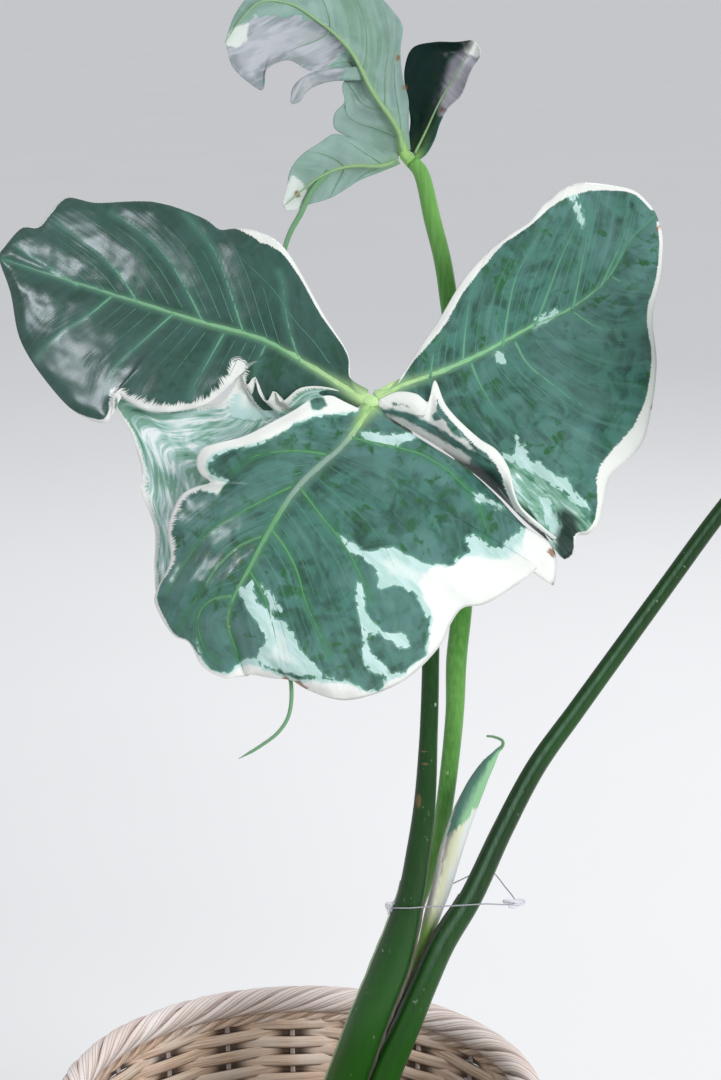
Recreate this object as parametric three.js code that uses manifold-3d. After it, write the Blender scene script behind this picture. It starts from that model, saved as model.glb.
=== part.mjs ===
// A variegated elephant-ear house plant in a plain woven basket, in millimetres, +Z up.
// Three leaf stalks and a rolled new leaf rise from one crown, which stands in the soil of a plastic growing pot.
// The growing pot stands inside the basket. The origin is the centre of the basket's underside.
//
// The leaves and stalks are drawn on an upright sheet that stands 1200 mm in front of a viewer's eye.
// A point of the drawing is [right, up, back]: millimetres along the sheet, then millimetres behind the sheet.
import * as THREE from "three";
import { mergeVertices } from "three/addons/utils/BufferGeometryUtils.js";
import Module from "manifold-3d";

const wasm = await Module();
wasm.setup();

// Drawing sheet
const EYE = new THREE.Vector3(32, -1153, 828);
const SHEET_DISTANCE = 1200;
const SHEET_TILT = THREE.MathUtils.degToRad(15);

// Clearance between pieces that touch
const GAP = 0.35;

// Basket
const BASKET_HEIGHT = 202;
const BASKET_FOOT_RADIUS = 100;
const BASKET_TOP_RADIUS = 126;
const BASKET_BELLY = 4;
const BASKET_WALL = 6;
const BASKET_FLOOR = 8;
const BASKET_EDGE = 3;
const BASKET_STAKES = 20;
const STAKE_START = THREE.MathUtils.degToRad(93.6);
const BASKET_COLUMNS = 2 * BASKET_STAKES;
const BASKET_ROWS = 18;
const WEAVE_DEPTH = 1.8;
const RIM_RADIUS = 7;
const RIM_STRANDS = 3;
const RIM_TURNS = 8;
const RIM_STEPS = 72;
const RIM_SIDES = 6;
const RIM_RELIEF = 1.3;

// Growing pot and soil
const POT_FOOT_RADIUS = 74;
const POT_TOP_RADIUS = 96;
const POT_HEIGHT = 140;
const POT_WALL = 1.6;
const POT_LIP = 4;
const POT_LIP_HEIGHT = 12;
const POT_FLOOR = 3;
const POT_SIDES = 32;
const DRAIN_HOLES = 6;
const DRAIN_RADIUS = 6;
const DRAIN_CIRCLE = 45;
const SOIL_LEVEL = 128;
const SOIL_HEAP = 3.5;
const SOIL_RINGS = 6;
const SOIL_SPOKES = 24;
const SOIL_LUMPS = 2.2;

// Plant
const CROWN_RADIUS = 26;
const CROWN_TOP = 140;
const CROWN_BOTTOM = 86;
const CROWN_CENTRE = [1, 1];
const CROWN_SCARS = 6;
const SCAR_DEPTH = 0.9;
const STALK_SIDES = 10;
const BLADE = 0.9;
const RIB_START = 3;
const RIB_END = 0.9;
const QUILT_DEPTH = 1.2;
const HUB_RADIUS = 5;
const THREAD_RADIUS = 0.5;
const KNOT_RADIUS = 2.6;

const FINISH = {
  basket: { color: 0xcbb497, roughness: 0.85 },
  pot: { color: 0x23201e, roughness: 0.6 },
  soil: { color: 0x2e2219, roughness: 0.95 },
  crown: { color: 0x6d6a3c, roughness: 0.7 },
  stalk: { color: 0x2f6b25, roughness: 0.35 },
  paleStalk: { color: 0x5d9a45, roughness: 0.35 },
  blade: { color: 0x3f6f58, roughness: 0.4 },
  newLeaf: { color: 0xd9e2b4, roughness: 0.5 },
  thread: { color: 0xd6d3dc, roughness: 0.6 },
};

// The point in the part's frame that the drawing's point [right, up, back] stands for.
function onSheet([right, up, back]) {
  const depth = SHEET_DISTANCE + back;
  const spread = depth / SHEET_DISTANCE;
  return new THREE.Vector3(
    EYE.x + right * spread,
    EYE.y + depth * Math.cos(SHEET_TILT) + up * spread * Math.sin(SHEET_TILT),
    EYE.z - depth * Math.sin(SHEET_TILT) + up * spread * Math.cos(SHEET_TILT),
  );
}

function smooth(points, closed = false) {
  return new THREE.CatmullRomCurve3(points.map((p) => new THREE.Vector3(...p)), closed, "centripetal");
}

// Repeatable noise from -1 to 1 for any two numbers.
function noise(a, b) {
  const wave = Math.sin(a * 127.1 + b * 311.7) * 43758.5453;
  return 2 * (wave - Math.floor(wave)) - 1;
}

function solidOf(geometry) {
  const bare = new THREE.BufferGeometry();
  bare.setAttribute("position", geometry.getAttribute("position"));
  bare.setIndex(geometry.getIndex());
  const merged = mergeVertices(bare, 1e-4);
  const mesh = new wasm.Mesh({
    numProp: 3,
    vertProperties: new Float32Array(merged.attributes.position.array),
    triVerts: new Uint32Array(merged.index.array),
  });
  return new wasm.Manifold(mesh);
}

function solidFrom(vertices, triangles) {
  const geometry = new THREE.BufferGeometry().setFromPoints(vertices);
  geometry.setIndex(triangles.flat());
  return solidOf(geometry);
}

function geometryOf(solid) {
  const mesh = solid.getMesh();
  const geometry = new THREE.BufferGeometry();
  geometry.setAttribute("position", new THREE.BufferAttribute(new Float32Array(mesh.vertProperties), 3));
  geometry.setIndex(new THREE.BufferAttribute(new Uint32Array(mesh.triVerts), 1));
  geometry.computeVertexNormals();
  return geometry;
}

// The largest closed body of a solid, with the small pockets sealed inside it filled.
function mainBody(solid) {
  return solid.decompose().reduce((best, body) => (body.volume() > best.volume() ? body : best));
}

function joined(solids) {
  return solids.reduce((all, one) => all.add(one));
}

function without(solid, rooms) {
  return mainBody(rooms.reduce((left, room) => left.subtract(room), solid));
}

// Rings of points joined each to the next: closed round on themselves, or with a flat cap at both ends.
function ringSolid(rings, closed = false) {
  const sides = rings[0].length;
  const joints = closed ? rings.length : rings.length - 1;
  const triangles = [];
  for (let i = 0; i < joints; i++) {
    const here = i * sides;
    const next = ((i + 1) % rings.length) * sides;
    for (let j = 0; j < sides; j++) {
      const k = (j + 1) % sides;
      triangles.push([here + j, here + k, next + k], [here + j, next + k, next + j]);
    }
  }
  const last = (rings.length - 1) * sides;
  for (let j = 1; j + 1 < sides && !closed; j++) {
    triangles.push([0, j + 1, j], [last, last + j, last + j + 1]);
  }
  return solidFrom(rings.flat(), triangles);
}

// A round ring of points square to a line.
function ringAround(centre, along, start, radius, sides) {
  const across = start.clone().addScaledVector(along, -start.dot(along)).normalize();
  const side = along.clone().cross(across);
  const ring = [];
  for (let j = 0; j < sides; j++) {
    const angle = (2 * Math.PI * j) / sides;
    ring.push(centre.clone()
      .addScaledVector(across, Math.cos(angle) * radius)
      .addScaledVector(side, Math.sin(angle) * radius));
  }
  return ring;
}

// A tapering round stalk through drawn points [right, up, back, radius].
function stalk(points, { steps, sides = STALK_SIDES, grow = 0, place = onSheet }) {
  const line = new THREE.CatmullRomCurve3(points.map(place), false, "centripetal");
  const radii = new THREE.SplineCurve(points.map((p, i) => new THREE.Vector2(i, p[3])));
  const rings = [];
  for (let i = 0; i <= steps; i++) {
    const t = i / steps;
    const start = new THREE.Vector3(0, 1, 0);
    rings.push(ringAround(line.getPoint(t), line.getTangent(t), start, radii.getPoint(t).y + grow, sides));
  }
  return ringSolid(rings);
}

// A blade with real thickness over a grid of points. thickness(i, j) gives how far its upper face and its
// underside stand from the grid. Both faces are split into triangles alike.
function bladeOver(grid, thickness) {
  const rows = grid.length;
  const columns = grid[0].length;
  const facing = (i, j) => {
    const along = grid[Math.min(i + 1, rows - 1)][j].clone().sub(grid[Math.max(i - 1, 0)][j]);
    const over = grid[i][Math.min(j + 1, columns - 1)].clone().sub(grid[i][Math.max(j - 1, 0)]);
    return along.cross(over).normalize();
  };
  const upper = [];
  const under = [];
  grid.forEach((row, i) => row.forEach((point, j) => {
    const [above, below] = thickness(i, j);
    upper.push(point.clone().addScaledVector(facing(i, j), above));
    under.push(point.clone().addScaledVector(facing(i, j), -below));
  }));
  const at = (i, j) => i * columns + j;
  const low = upper.length;
  const triangles = [];
  const quad = (a, b, c, d) => triangles.push([a, b, c], [a, c, d]);
  for (let i = 0; i + 1 < rows; i++) {
    for (let j = 0; j + 1 < columns; j++) {
      const [a, b, c, d] = [at(i, j), at(i + 1, j), at(i + 1, j + 1), at(i, j + 1)];
      triangles.push([a, b, c], [a, c, d]);
      triangles.push([a + low, c + low, b + low], [a + low, d + low, c + low]);
    }
    const end = columns - 1;
    quad(at(i + 1, 0), at(i, 0), at(i, 0) + low, at(i + 1, 0) + low);
    quad(at(i, end), at(i + 1, end), at(i + 1, end) + low, at(i, end) + low);
  }
  for (let j = 0; j + 1 < columns; j++) {
    const end = rows - 1;
    quad(at(0, j), at(0, j + 1), at(0, j + 1) + low, at(0, j) + low);
    quad(at(end, j + 1), at(end, j), at(end, j) + low, at(end, j + 1) + low);
  }
  return solidFrom([...upper, ...under], triangles);
}

// A point of a blade, at share t of the way from a rib point to a margin point. The blade bellies towards the
// viewer, and swells between its side veins.
function bladePoint(from, to, t, s, belly, quilts) {
  const point = from.clone().lerp(to, t);
  const arch = 4 * t * (1 - t) * Math.sqrt(Math.sin(Math.PI * s));
  point.z -= arch * (belly + (quilts ? QUILT_DEPTH * Math.cos(2 * Math.PI * quilts * s) : 0));
  return point.toArray();
}

// A lobe: blade on both sides of a rib, which stands out of its underside.
// The clockwise margin lies clockwise of the rib, seen from the upper side. pace says how rib and margins keep
// step: row s joins their shares s ** pace.
function lobe({ rib, clockwise, counter, pace, belly, quilts, long, wide }, place) {
  const [ribLine, first, second] = [rib, clockwise, counter].map((points) => smooth(points));
  const shares = Array.from({ length: wide }, (_, j) => (j + 1) / wide);
  const grid = [];
  for (let i = 0; i <= long; i++) {
    const s = i / long;
    const [centre, left, right] = [ribLine, first, second].map((line, k) => line.getPointAt(s ** pace[k]));
    const edge = (side) => Math.min(0.3 / wide, RIB_START / centre.distanceTo(side));
    const half = (side, k) => [edge(side), ...shares].map((t) => bladePoint(centre, side, t, s, belly[k], quilts[k]));
    grid.push([...half(left, 0).reverse(), centre.toArray(), ...half(right, 1)].map(place));
  }
  const middle = wide + 1;
  return bladeOver(grid, (i, j) => {
    const ridge = j === middle ? RIB_START + (RIB_END - RIB_START) * (i / long) : 0;
    return [BLADE / 2 + 0.15 * ridge, BLADE / 2 + 1.2 * ridge];
  });
}

// A fold of blade between two drawn lines, with no rib.
function fold({ inner, outer, belly, quilts, long, wide }, place) {
  const [from, to] = [inner, outer].map((points) => smooth(points));
  const grid = [];
  for (let i = 0; i <= long; i++) {
    const s = i / long;
    const row = [];
    for (let j = 0; j <= wide; j++) {
      row.push(place(bladePoint(from.getPointAt(s), to.getPointAt(s), j / wide, s, belly, quilts)));
    }
    grid.push(row);
  }
  return bladeOver(grid, () => [BLADE / 2, BLADE / 2]);
}

// A whole leaf blade: its lobes and folds grown together at the joint with the stalk, and its hanging tail.
function leaf({ joint, lobes, folds, tail }, place) {
  const hub = new THREE.SphereGeometry(HUB_RADIUS, 8, 6);
  hub.translate(...place(joint).toArray());
  return joined([
    solidOf(hub),
    ...lobes.map((part) => lobe(part, place)),
    ...folds.map((part) => fold(part, place)),
    stalk(tail, { steps: 2 * tail.length, sides: 5, place }),
  ]);
}

// Front leaf: two ears that stand up and out, a main lobe that hangs, and torn folds between them

const LEFT_EAR = {
  rib: [
    [3, 70, 0], [-22, 85, 2], [-49, 100, 6], [-77, 108, 12], [-112, 119, 22], [-144, 129, 34],
    [-180.5, 141, 52],
  ],
  clockwise: [
    [4, 75, 0], [-5, 81, 0], [-6, 92, 2], [-18, 112, 6], [-40, 148, 14], [-51, 154, 17], [-62, 156, 20],
    [-70, 155, 22], [-77, 160, 24], [-102, 169, 33], [-133, 169, 45], [-147, 171, 52], [-156, 163, 51],
    [-161, 157, 51], [-169, 156, 54], [-180, 144, 53],
  ],
  counter: [
    [2, 66, 0], [-16, 70, 3], [-32, 66, 5], [-47, 64, 4], [-58, 76, 2], [-61, 87, 0], [-66, 77, -2],
    [-77, 68, -3], [-95, 64, 0], [-107, 65, 2], [-117, 70, 5], [-123, 74, 7], [-126, 59, 7], [-141, 63, 16],
    [-156, 78, 27], [-170, 100, 38], [-175, 124, 46], [-180, 138, 52],
  ],
  pace: [1.15, 1, 1],
  belly: [3, 4],
  quilts: [7, 6],
  long: 18,
  wide: 2,
};
const RIGHT_EAR = {
  rib: [
    [8, 71, 0], [19, 77, 2], [34, 82, 5], [60, 93, 12], [86, 107, 22], [104, 115, 29], [123, 130, 38],
    [136, 151, 48], [148, 162, 54.5],
  ],
  clockwise: [
    [8, 66, 0], [22, 64, 4], [38, 58, 7], [60, 37, 9], [80, 13, 11], [94, 3, 12], [98, -6, 14],
    [102, -10, 16], [107, -6, 17], [108, 2, 16], [114, 3, 14], [119, 8, 14], [123, 26, 15], [125, 32, 15],
    [140, 47, 21], [145, 63, 25], [148, 88, 31], [146, 112, 36], [150, 132, 43], [151, 151, 50],
    [149.5, 158, 53],
  ],
  counter: [
    [7, 75, 0], [17, 77, 1], [26, 91, 4], [38, 108, 9], [52, 131, 16], [68, 148, 23], [84, 159, 30],
    [94, 170, 36], [107, 178, 42], [127, 177, 50], [138, 174, 54], [146, 166, 55.5],
  ],
  pace: [1.5, 0.9, 1.2],
  belly: [6, 3],
  quilts: [6, 7],
  long: 18,
  wide: 2,
};
const MAIN_LOBE = {
  rib: [
    [5, 67, -1], [-3, 55, -6], [-10, 46, -12], [-31, 26, -26], [-45, 5, -34], [-55, -14, -38],
    [-64, -31, -36], [-66, -40, -31], [-63, -52, -26], [-57, -68, -23],
  ],
  clockwise: [
    [1, 68, -1], [-4, 65, -5], [-14, 72, -11], [-25, 70, -16], [-33, 65, -19], [-46, 58, -22],
    [-58, 52, -24], [-73, 48, -22], [-80, 45, -20], [-82, 39, -18], [-80, 33, -15], [-75, 29, -14],
    [-84, 26, -14], [-90, 22, -14], [-96, 7, -14], [-95, -10, -14], [-103, -29, -14], [-101, -36, -14],
    [-93, -48, -15], [-86, -51, -17], [-79, -63, -20], [-68, -69, -22], [-59, -68, -23],
  ],
  counter: [
    [9, 67, 0], [20, 53, 3], [42, 43, 5], [55, 34, 6], [68, 22, 8], [82, 7, 11], [95, -2, 14],
    [98, -11, 17], [96, -23, 19], [90, -14, 14], [83, -19, 6], [62, -32, -4], [51, -34, -7],
    [45, -42, -9], [41, -51, -11], [22, -70, -14], [-7, -80, -18], [-26, -75, -21], [-35, -70, -22],
    [-44, -69, -23], [-55, -67, -23],
  ],
  pace: [1.7, 1.25, 0.75],
  belly: [3, 12],
  quilts: [5, 6],
  long: 22,
  wide: 3,
};
const LEFT_FOLD = {
  inner: [
    [3, 64, 3], [-15, 56, 6], [-45, 44, 6], [-66, 24, 4], [-78, 0, 2], [-84, -26, 0], [-88, -44, 2],
  ],
  outer: [
    [2, 68, 1], [-15, 76, -1], [-30, 76, -4], [-40, 69, -5], [-43, 75, -5], [-47, 69, -4], [-51, 74, -3],
    [-53, 82, -2], [-57, 77, -1], [-60, 84, 1], [-64, 76, 1], [-70, 69, 2], [-85, 67, 6], [-105, 66, 9],
    [-120, 72, 11], [-124, 70, 12], [-115, 54, 12], [-109, 32, 12], [-110, 26, 10], [-103, 6, 9],
    [-103, -14, 8], [-102, -28, 6], [-96, -44, 4],
  ],
  belly: -3,
  quilts: 4,
  long: 20,
  wide: 2,
};
const RIGHT_FOLD = {
  inner: [
    [8, 65, 2], [22, 57, 8], [40, 46, 12], [55, 35, 14], [70, 22, 15], [83, 9, 16], [95, -1, 17],
  ],
  outer: [
    [9, 70, -1], [18, 74, -2], [28, 73, -3], [34, 69, -3], [37, 80, -2], [43, 67, -3], [59, 51, -3],
    [68, 45, -2], [74, 36, -1], [77, 24, 0], [80, 17, 3], [92, 6, 8], [98, 1, 11],
  ],
  belly: 6,
  quilts: 3,
  long: 14,
  wide: 2,
};
const FRONT_LEAF = {
  joint: [5, 69, 1],
  lobes: [LEFT_EAR, RIGHT_EAR, MAIN_LOBE],
  folds: [LEFT_FOLD, RIGHT_FOLD],
  tail: [
    [-66, -42, -30, 1.6], [-60, -54, -14, 1.3], [-46, -62, -12, 1.1], [-36, -68, -17, 1.0],
    [-34.5, -76, -18, 1.0], [-36, -88, -17, 0.95], [-41, -96, -16, 0.9], [-50, -103, -14, 0.85],
    [-61, -109.5, -12, 0.7],
  ],
};
const FRONT_LEAF_BACK = -30;

// Back leaf: turned away, so that its underside faces the viewer. Its lobes curl and its margin is torn

const BACK_MAIN = {
  rib: [
    [21, 194, 1], [19, 204, 1], [6, 224, 4], [-4, 243, 7], [-13, 253, 8], [-22, 260, 8], [-35, 268, 4],
    [-50, 269, -4], [-60, 260, -12], [-67.5, 249, -18.5],
  ],
  clockwise: [
    [18, 191, 1], [10, 195, 3], [-2, 200, 5], [-13, 206, 6], [-13, 213, 8], [-8, 219, 8], [-9, 227, 7],
    [-5, 236, 7], [-16, 234, 3], [-26, 235, -2], [-36, 240, -5], [-47, 235, -10], [-49, 225, -13],
    [-56, 229, -15], [-64, 237, -18], [-67, 247, -19],
  ],
  counter: [
    [25, 195, 3], [24, 208, 6], [24, 220, 10], [21, 232, 13], [20, 245, 15], [21, 257, 17], [15, 266, 19],
    [8, 273, 20], [-4, 280, 19], [-22, 284, 14], [-40, 282, 6], [-54, 274, -3], [-63, 262, -12],
    [-67, 251, -18],
  ],
  pace: [1.2, 1, 1],
  belly: [-4, -3],
  quilts: [5, 5],
  long: 16,
  wide: 2,
};
const BACK_LEFT_EAR = {
  rib: [
    [19, 190, 0], [10, 187, -3], [-3, 187, -7], [-13, 185, -10], [-21, 181, -13], [-29, 175, -17],
    [-38.5, 167, -22.6],
  ],
  clockwise: [
    [20, 188, 1], [10, 184, 1], [0, 180, -1], [-8, 175, -4], [-15, 171, -8], [-25, 168, -14],
    [-33, 165, -19], [-37, 165, -22],
  ],
  counter: [
    [19, 193, 1], [12, 196, 2], [-1, 200, 3], [-13, 203, 2], [-20, 199, -2], [-30, 192, -9],
    [-35, 185, -14], [-37, 175, -20], [-39, 169, -23],
  ],
  pace: [1.1, 1, 1],
  belly: [-2, -3],
  quilts: [0, 3],
  long: 12,
  wide: 2,
};
const BACK_RIGHT_EAR = {
  rib: [[27, 193, 2], [33, 205, 10], [40, 220, 15], [48, 233, 17], [57.3, 249, 13.6]],
  clockwise: [
    [23, 196, 4], [25, 210, 14], [23, 222, 20], [22, 235, 24], [26, 246, 26], [37, 249, 24], [48, 249, 19],
    [55.5, 250, 14.5],
  ],
  counter: [
    [28, 189, 1], [33, 193, 1], [37, 200, 2], [40, 209, 3], [44, 216, 3], [50, 222, 3], [55, 234, 6],
    [60, 243, 10], [59, 247.5, 12.6],
  ],
  pace: [1, 1, 1],
  belly: [-3, -3],
  quilts: [3, 0],
  long: 12,
  wide: 2,
};
const BACK_STRAP = {
  inner: [[2, 230, 6], [-17, 229, 4], [-26, 225, 0], [-31, 219, -3], [-34, 218, -5]],
  outer: [[1, 237, 6], [-18, 235, 2], [-28, 232, -2], [-34, 226, -4], [-35, 219, -6]],
  belly: 1,
  quilts: 0,
  long: 7,
  wide: 2,
};
const BACK_LEAF = {
  joint: [22, 192, 1],
  lobes: [BACK_MAIN, BACK_LEFT_EAR, BACK_RIGHT_EAR],
  folds: [BACK_STRAP],
  tail: [
    [-16, 184, -10, 1.7], [-24, 175, -15, 1.6], [-30, 163, -18, 1.5], [-35, 154, -20, 1.4],
    [-38, 145, -21, 1.3], [-39, 134, -20, 1.2], [-37, 122, -18, 1.1], [-33, 112, -16, 0.9],
  ],
};
const BACK_LEAF_BACK = 76;

// Side leaf: the front leaf's mirrored twin, narrower and flatter, which faces right from its own joint

const SIDE_JOINT = [266, 87.5, -12.6];
const SIDE_WIDTH = -0.82;
const SIDE_LENGTH = 0.92;
const SIDE_CUP = 0.6;
const SIDE_TURN = THREE.MathUtils.degToRad(82);
const SIDE_NOD = THREE.MathUtils.degToRad(-12);

function onFrontLeaf([right, up, back]) {
  return onSheet([right, up, back + FRONT_LEAF_BACK]);
}

function onBackLeaf([right, up, back]) {
  return onSheet([right, up, back + BACK_LEAF_BACK]);
}

function onSideLeaf([right, up, back]) {
  const [x, z, y] = FRONT_LEAF.joint;
  return new THREE.Vector3((right - x) * SIDE_WIDTH, (back - y) * SIDE_CUP, (up - z) * SIDE_LENGTH)
    .applyAxisAngle(new THREE.Vector3(1, 0, 0), SIDE_NOD)
    .applyAxisAngle(new THREE.Vector3(0, 0, 1), SIDE_TURN)
    .add(onSheet(SIDE_JOINT));
}

// Mirroring swaps the sides of each rib, so that blades keep their upper side.
function mirrored({ joint, lobes, folds, tail }) {
  const lean = { long: 14, wide: 2 };
  return {
    joint,
    tail,
    lobes: lobes.map(({ rib, clockwise, counter, pace, belly, quilts }) => ({
      rib,
      clockwise: counter,
      counter: clockwise,
      pace: [pace[0], pace[2], pace[1]],
      belly: [belly[1], belly[0]],
      quilts: [quilts[1], quilts[0]],
      ...lean,
    })),
    folds: folds.map(({ inner, outer, belly, quilts }) => ({
      inner: outer,
      outer: inner,
      belly,
      quilts,
      ...lean,
    })),
  };
}

// Stalks, from the crown up

const FRONT_STALK = [
  [-32, -352, 90, 10], [-21, -305, 80, 10.5], [-7, -270, 72, 10.3], [4, -240, 60, 10], [16, -210, 55, 9.7],
  [25, -179, 50, 7.2], [29, -156, 46, 6.5], [32, -133, 44, 5.8], [34, -99, 42, 4.8], [35, -65, 42, 4.5],
  [35, -30, 44, 4.5], [32, 10, 42, 4.3], [25, 45, 32, 4.0], [17, 61, 6, 3.8], [11.5, 65, -12, 3.6],
  [8.3, 66, -25, 3.4],
];
const SIDE_STALK = [
  [-16, -352, 94, 9.5], [0, -304, 84, 9.2], [12, -268, 75, 8.6], [22, -245, 68, 7.8], [32, -222, 62, 7.0],
  [41, -202, 58, 6.8], [55, -179, 52, 6.2], [71, -145, 46, 5.6], [88, -113, 42, 5.2], [108, -85, 38, 4.8],
  [150, -27, 30, 4.4], [180, 14, 26, 4.2], [208, 48, 20, 3.9], [232, 72, 12, 3.7], [248, 84, 2, 3.6],
  [261, 87.3, -9, 3.4],
];
const BACK_STALK = [
  [-24, -350, 108, 8.5], [-8, -304, 102, 8], [8, -262, 92, 7.2], [17, -210, 86, 6.2], [32, -170, 84, 5.0],
  [39, -150, 82, 4.3], [42, -133, 80, 4.7], [47, -88, 80, 5.0], [48, -60, 82, 5.6], [51, -30, 84, 5.5],
  [52, 20, 88, 5.0], [50, 70, 90, 4.8], [44, 121, 90, 4.8], [41, 140, 88, 4.6], [36, 160, 86, 4.5],
  [30, 184, 79, 4.0], [25.5, 189.3, 75, 3.5],
];
const NEW_LEAF = [
  [-18, -344, 100, 3], [-6, -300, 94, 3], [7, -266, 84, 3], [20, -234, 76, 3], [30, -208, 68, 3],
  [36, -188, 66, 4.4], [41, -172, 64, 5.2], [46, -154, 62, 6], [52, -136, 60, 5.8], [58, -123, 60, 4.8],
  [64, -112, 60, 3.2], [68, -106, 60, 1.4], [71, -103, 60, 0.9], [71, -100.5, 60, 0.8],
  [67, -98.5, 60, 0.7], [63, -98, 60, 0.6],
];
const STALK_STEPS = 28;

function stem(points) {
  return stalk(points, { steps: STALK_STEPS });
}

// The room that a stalk takes up, with the clearance around it.
function roomOf(points) {
  return stalk(points, { steps: STALK_STEPS, grow: GAP });
}

// Tie: a fine thread round the stalks, with a knot at each side

const TIE_LOOP = [
  [15.9, -184, 50], [18.4, -184, 44], [24.4, -184, 41.5], [30.4, -183.6, 44], [44, -183, 43],
  [62, -182, 47], [77, -181.5, 52], [72, -173, 64], [64, -165, 74], [50, -170, 88], [36, -177, 95],
  [26, -181, 93], [20, -184, 82], [15.5, -184, 62],
];
const TIE_KNOTS = [
  { at: [15.2, -184, 51], size: [0.8, 0.9, 1.6] },
  { at: [77, -181.5, 52], size: [1.9, 0.9, 0.8] },
];

function tie() {
  const line = smooth(TIE_LOOP.map((p) => onSheet(p).toArray()), true);
  const steps = 3 * TIE_LOOP.length;
  const upright = new THREE.Vector3(0, 0, 1);
  const rings = [];
  for (let i = 0; i < steps; i++) {
    rings.push(ringAround(line.getPoint(i / steps), line.getTangent(i / steps), upright, THREAD_RADIUS, 4));
  }
  const knots = TIE_KNOTS.map(({ at, size }) => {
    const knot = new THREE.SphereGeometry(KNOT_RADIUS, 8, 6);
    knot.scale(...size);
    knot.translate(...onSheet(at).toArray());
    return solidOf(knot);
  });
  return joined([ringSolid(rings, true), ...knots]);
}

// Crown: the short stem that every stalk grows from, ringed with the scars of old leaf bases

function crown(grow = 0) {
  const steps = 2 * CROWN_SCARS;
  const height = CROWN_TOP - CROWN_BOTTOM + 2 * grow;
  const profile = [new THREE.Vector2(0, -grow)];
  for (let i = 0; i <= steps; i++) {
    const t = i / steps;
    const swell = Math.sin(Math.PI * (0.15 + 0.5 * t)) ** 0.6;
    const scar = i % 2 ? SCAR_DEPTH : 0;
    profile.push(new THREE.Vector2(CROWN_RADIUS * swell - scar + grow, height * t - grow));
  }
  profile.push(new THREE.Vector2(0, height - grow));
  const turned = new THREE.LatheGeometry(profile, 16);
  turned.rotateX(Math.PI / 2);
  turned.translate(CROWN_CENTRE[0], CROWN_CENTRE[1], CROWN_BOTTOM);
  return solidOf(turned);
}

// Basket

function basketRadius(z) {
  const share = z / BASKET_HEIGHT;
  const flare = (BASKET_TOP_RADIUS - BASKET_FOOT_RADIUS) * share;
  return BASKET_FOOT_RADIUS + flare + BASKET_BELLY * Math.sin(Math.PI * share);
}

// The weavers pass inside and outside the stakes by turns, which moves the wall in and out.
function weaveRing(radius, z, weave) {
  const ring = [];
  for (let j = 0; j < BASKET_COLUMNS; j++) {
    const turn = (2 * Math.PI * j) / BASKET_COLUMNS;
    const angle = STAKE_START + turn;
    const r = radius + weave * Math.cos(0.5 * BASKET_STAKES * turn);
    ring.push(new THREE.Vector3(Math.cos(angle) * r, Math.sin(angle) * r, z));
  }
  return ring;
}

function basketWall() {
  const outside = [weaveRing(basketRadius(0) - BASKET_EDGE, 0, 0)];
  const inside = [weaveRing(basketRadius(BASKET_FLOOR) - BASKET_WALL, BASKET_FLOOR, 0)];
  for (let i = 1; i <= BASKET_ROWS; i++) {
    const z = (BASKET_HEIGHT * i) / BASKET_ROWS;
    const weave = i === BASKET_ROWS ? 0 : WEAVE_DEPTH * (i % 2 ? 1 : -1);
    outside.push(weaveRing(basketRadius(z), z, weave));
    inside.push(weaveRing(basketRadius(z) - BASKET_WALL, z, weave));
  }
  return ringSolid([...outside, ...inside.reverse()]);
}

// The plaited rim: its section turns as it goes round, so that its strands lie slantwise.
function basketRim() {
  const centreRadius = BASKET_TOP_RADIUS - BASKET_WALL / 2;
  const rings = [];
  for (let i = 0; i < RIM_STEPS; i++) {
    const angle = (2 * Math.PI * i) / RIM_STEPS;
    const ring = [];
    for (let j = 0; j < RIM_SIDES; j++) {
      const turn = (2 * Math.PI * (j - 0.25 * RIM_SIDES)) / RIM_SIDES;
      const r = RIM_RADIUS + RIM_RELIEF * Math.cos(RIM_STRANDS * (turn - RIM_TURNS * angle));
      const out = centreRadius + r * Math.cos(turn);
      ring.push(new THREE.Vector3(Math.cos(angle) * out, Math.sin(angle) * out, r * Math.sin(turn)));
    }
    rings.push(ring.reverse());
  }
  return ringSolid(rings, true);
}

const RIM_CENTRE_HEIGHT = BASKET_HEIGHT + RIM_RADIUS + RIM_RELIEF + GAP;

// Growing pot, from its own foot up

function growingPot() {
  const shoulder = POT_HEIGHT - POT_LIP_HEIGHT;
  const lipRadius = POT_TOP_RADIUS + POT_LIP;
  const profile = [
    [0, 0], [POT_FOOT_RADIUS, 0], [POT_TOP_RADIUS, shoulder], [lipRadius, shoulder], [lipRadius, POT_HEIGHT],
    [lipRadius - POT_WALL, POT_HEIGHT], [POT_TOP_RADIUS - POT_WALL, shoulder + POT_WALL],
    [POT_FOOT_RADIUS - POT_WALL, POT_FLOOR], [0, POT_FLOOR],
  ];
  const turned = new THREE.LatheGeometry(profile.map(([r, z]) => new THREE.Vector2(r, z)), POT_SIDES);
  turned.rotateX(Math.PI / 2);
  const drills = [];
  for (let i = 0; i < DRAIN_HOLES; i++) {
    const angle = (2 * Math.PI * (i + 0.5)) / DRAIN_HOLES;
    const drill = new THREE.CylinderGeometry(DRAIN_RADIUS, DRAIN_RADIUS, 4 * POT_FLOOR, 8);
    drill.rotateX(Math.PI / 2);
    drill.translate(Math.cos(angle) * DRAIN_CIRCLE, Math.sin(angle) * DRAIN_CIRCLE, 0);
    drills.push(solidOf(drill));
  }
  return without(solidOf(turned), drills);
}

const POT_STANDS_AT = BASKET_FLOOR + GAP;

// Soil: it fills the pot, and its lumpy top heaps up a little towards the crown

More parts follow.
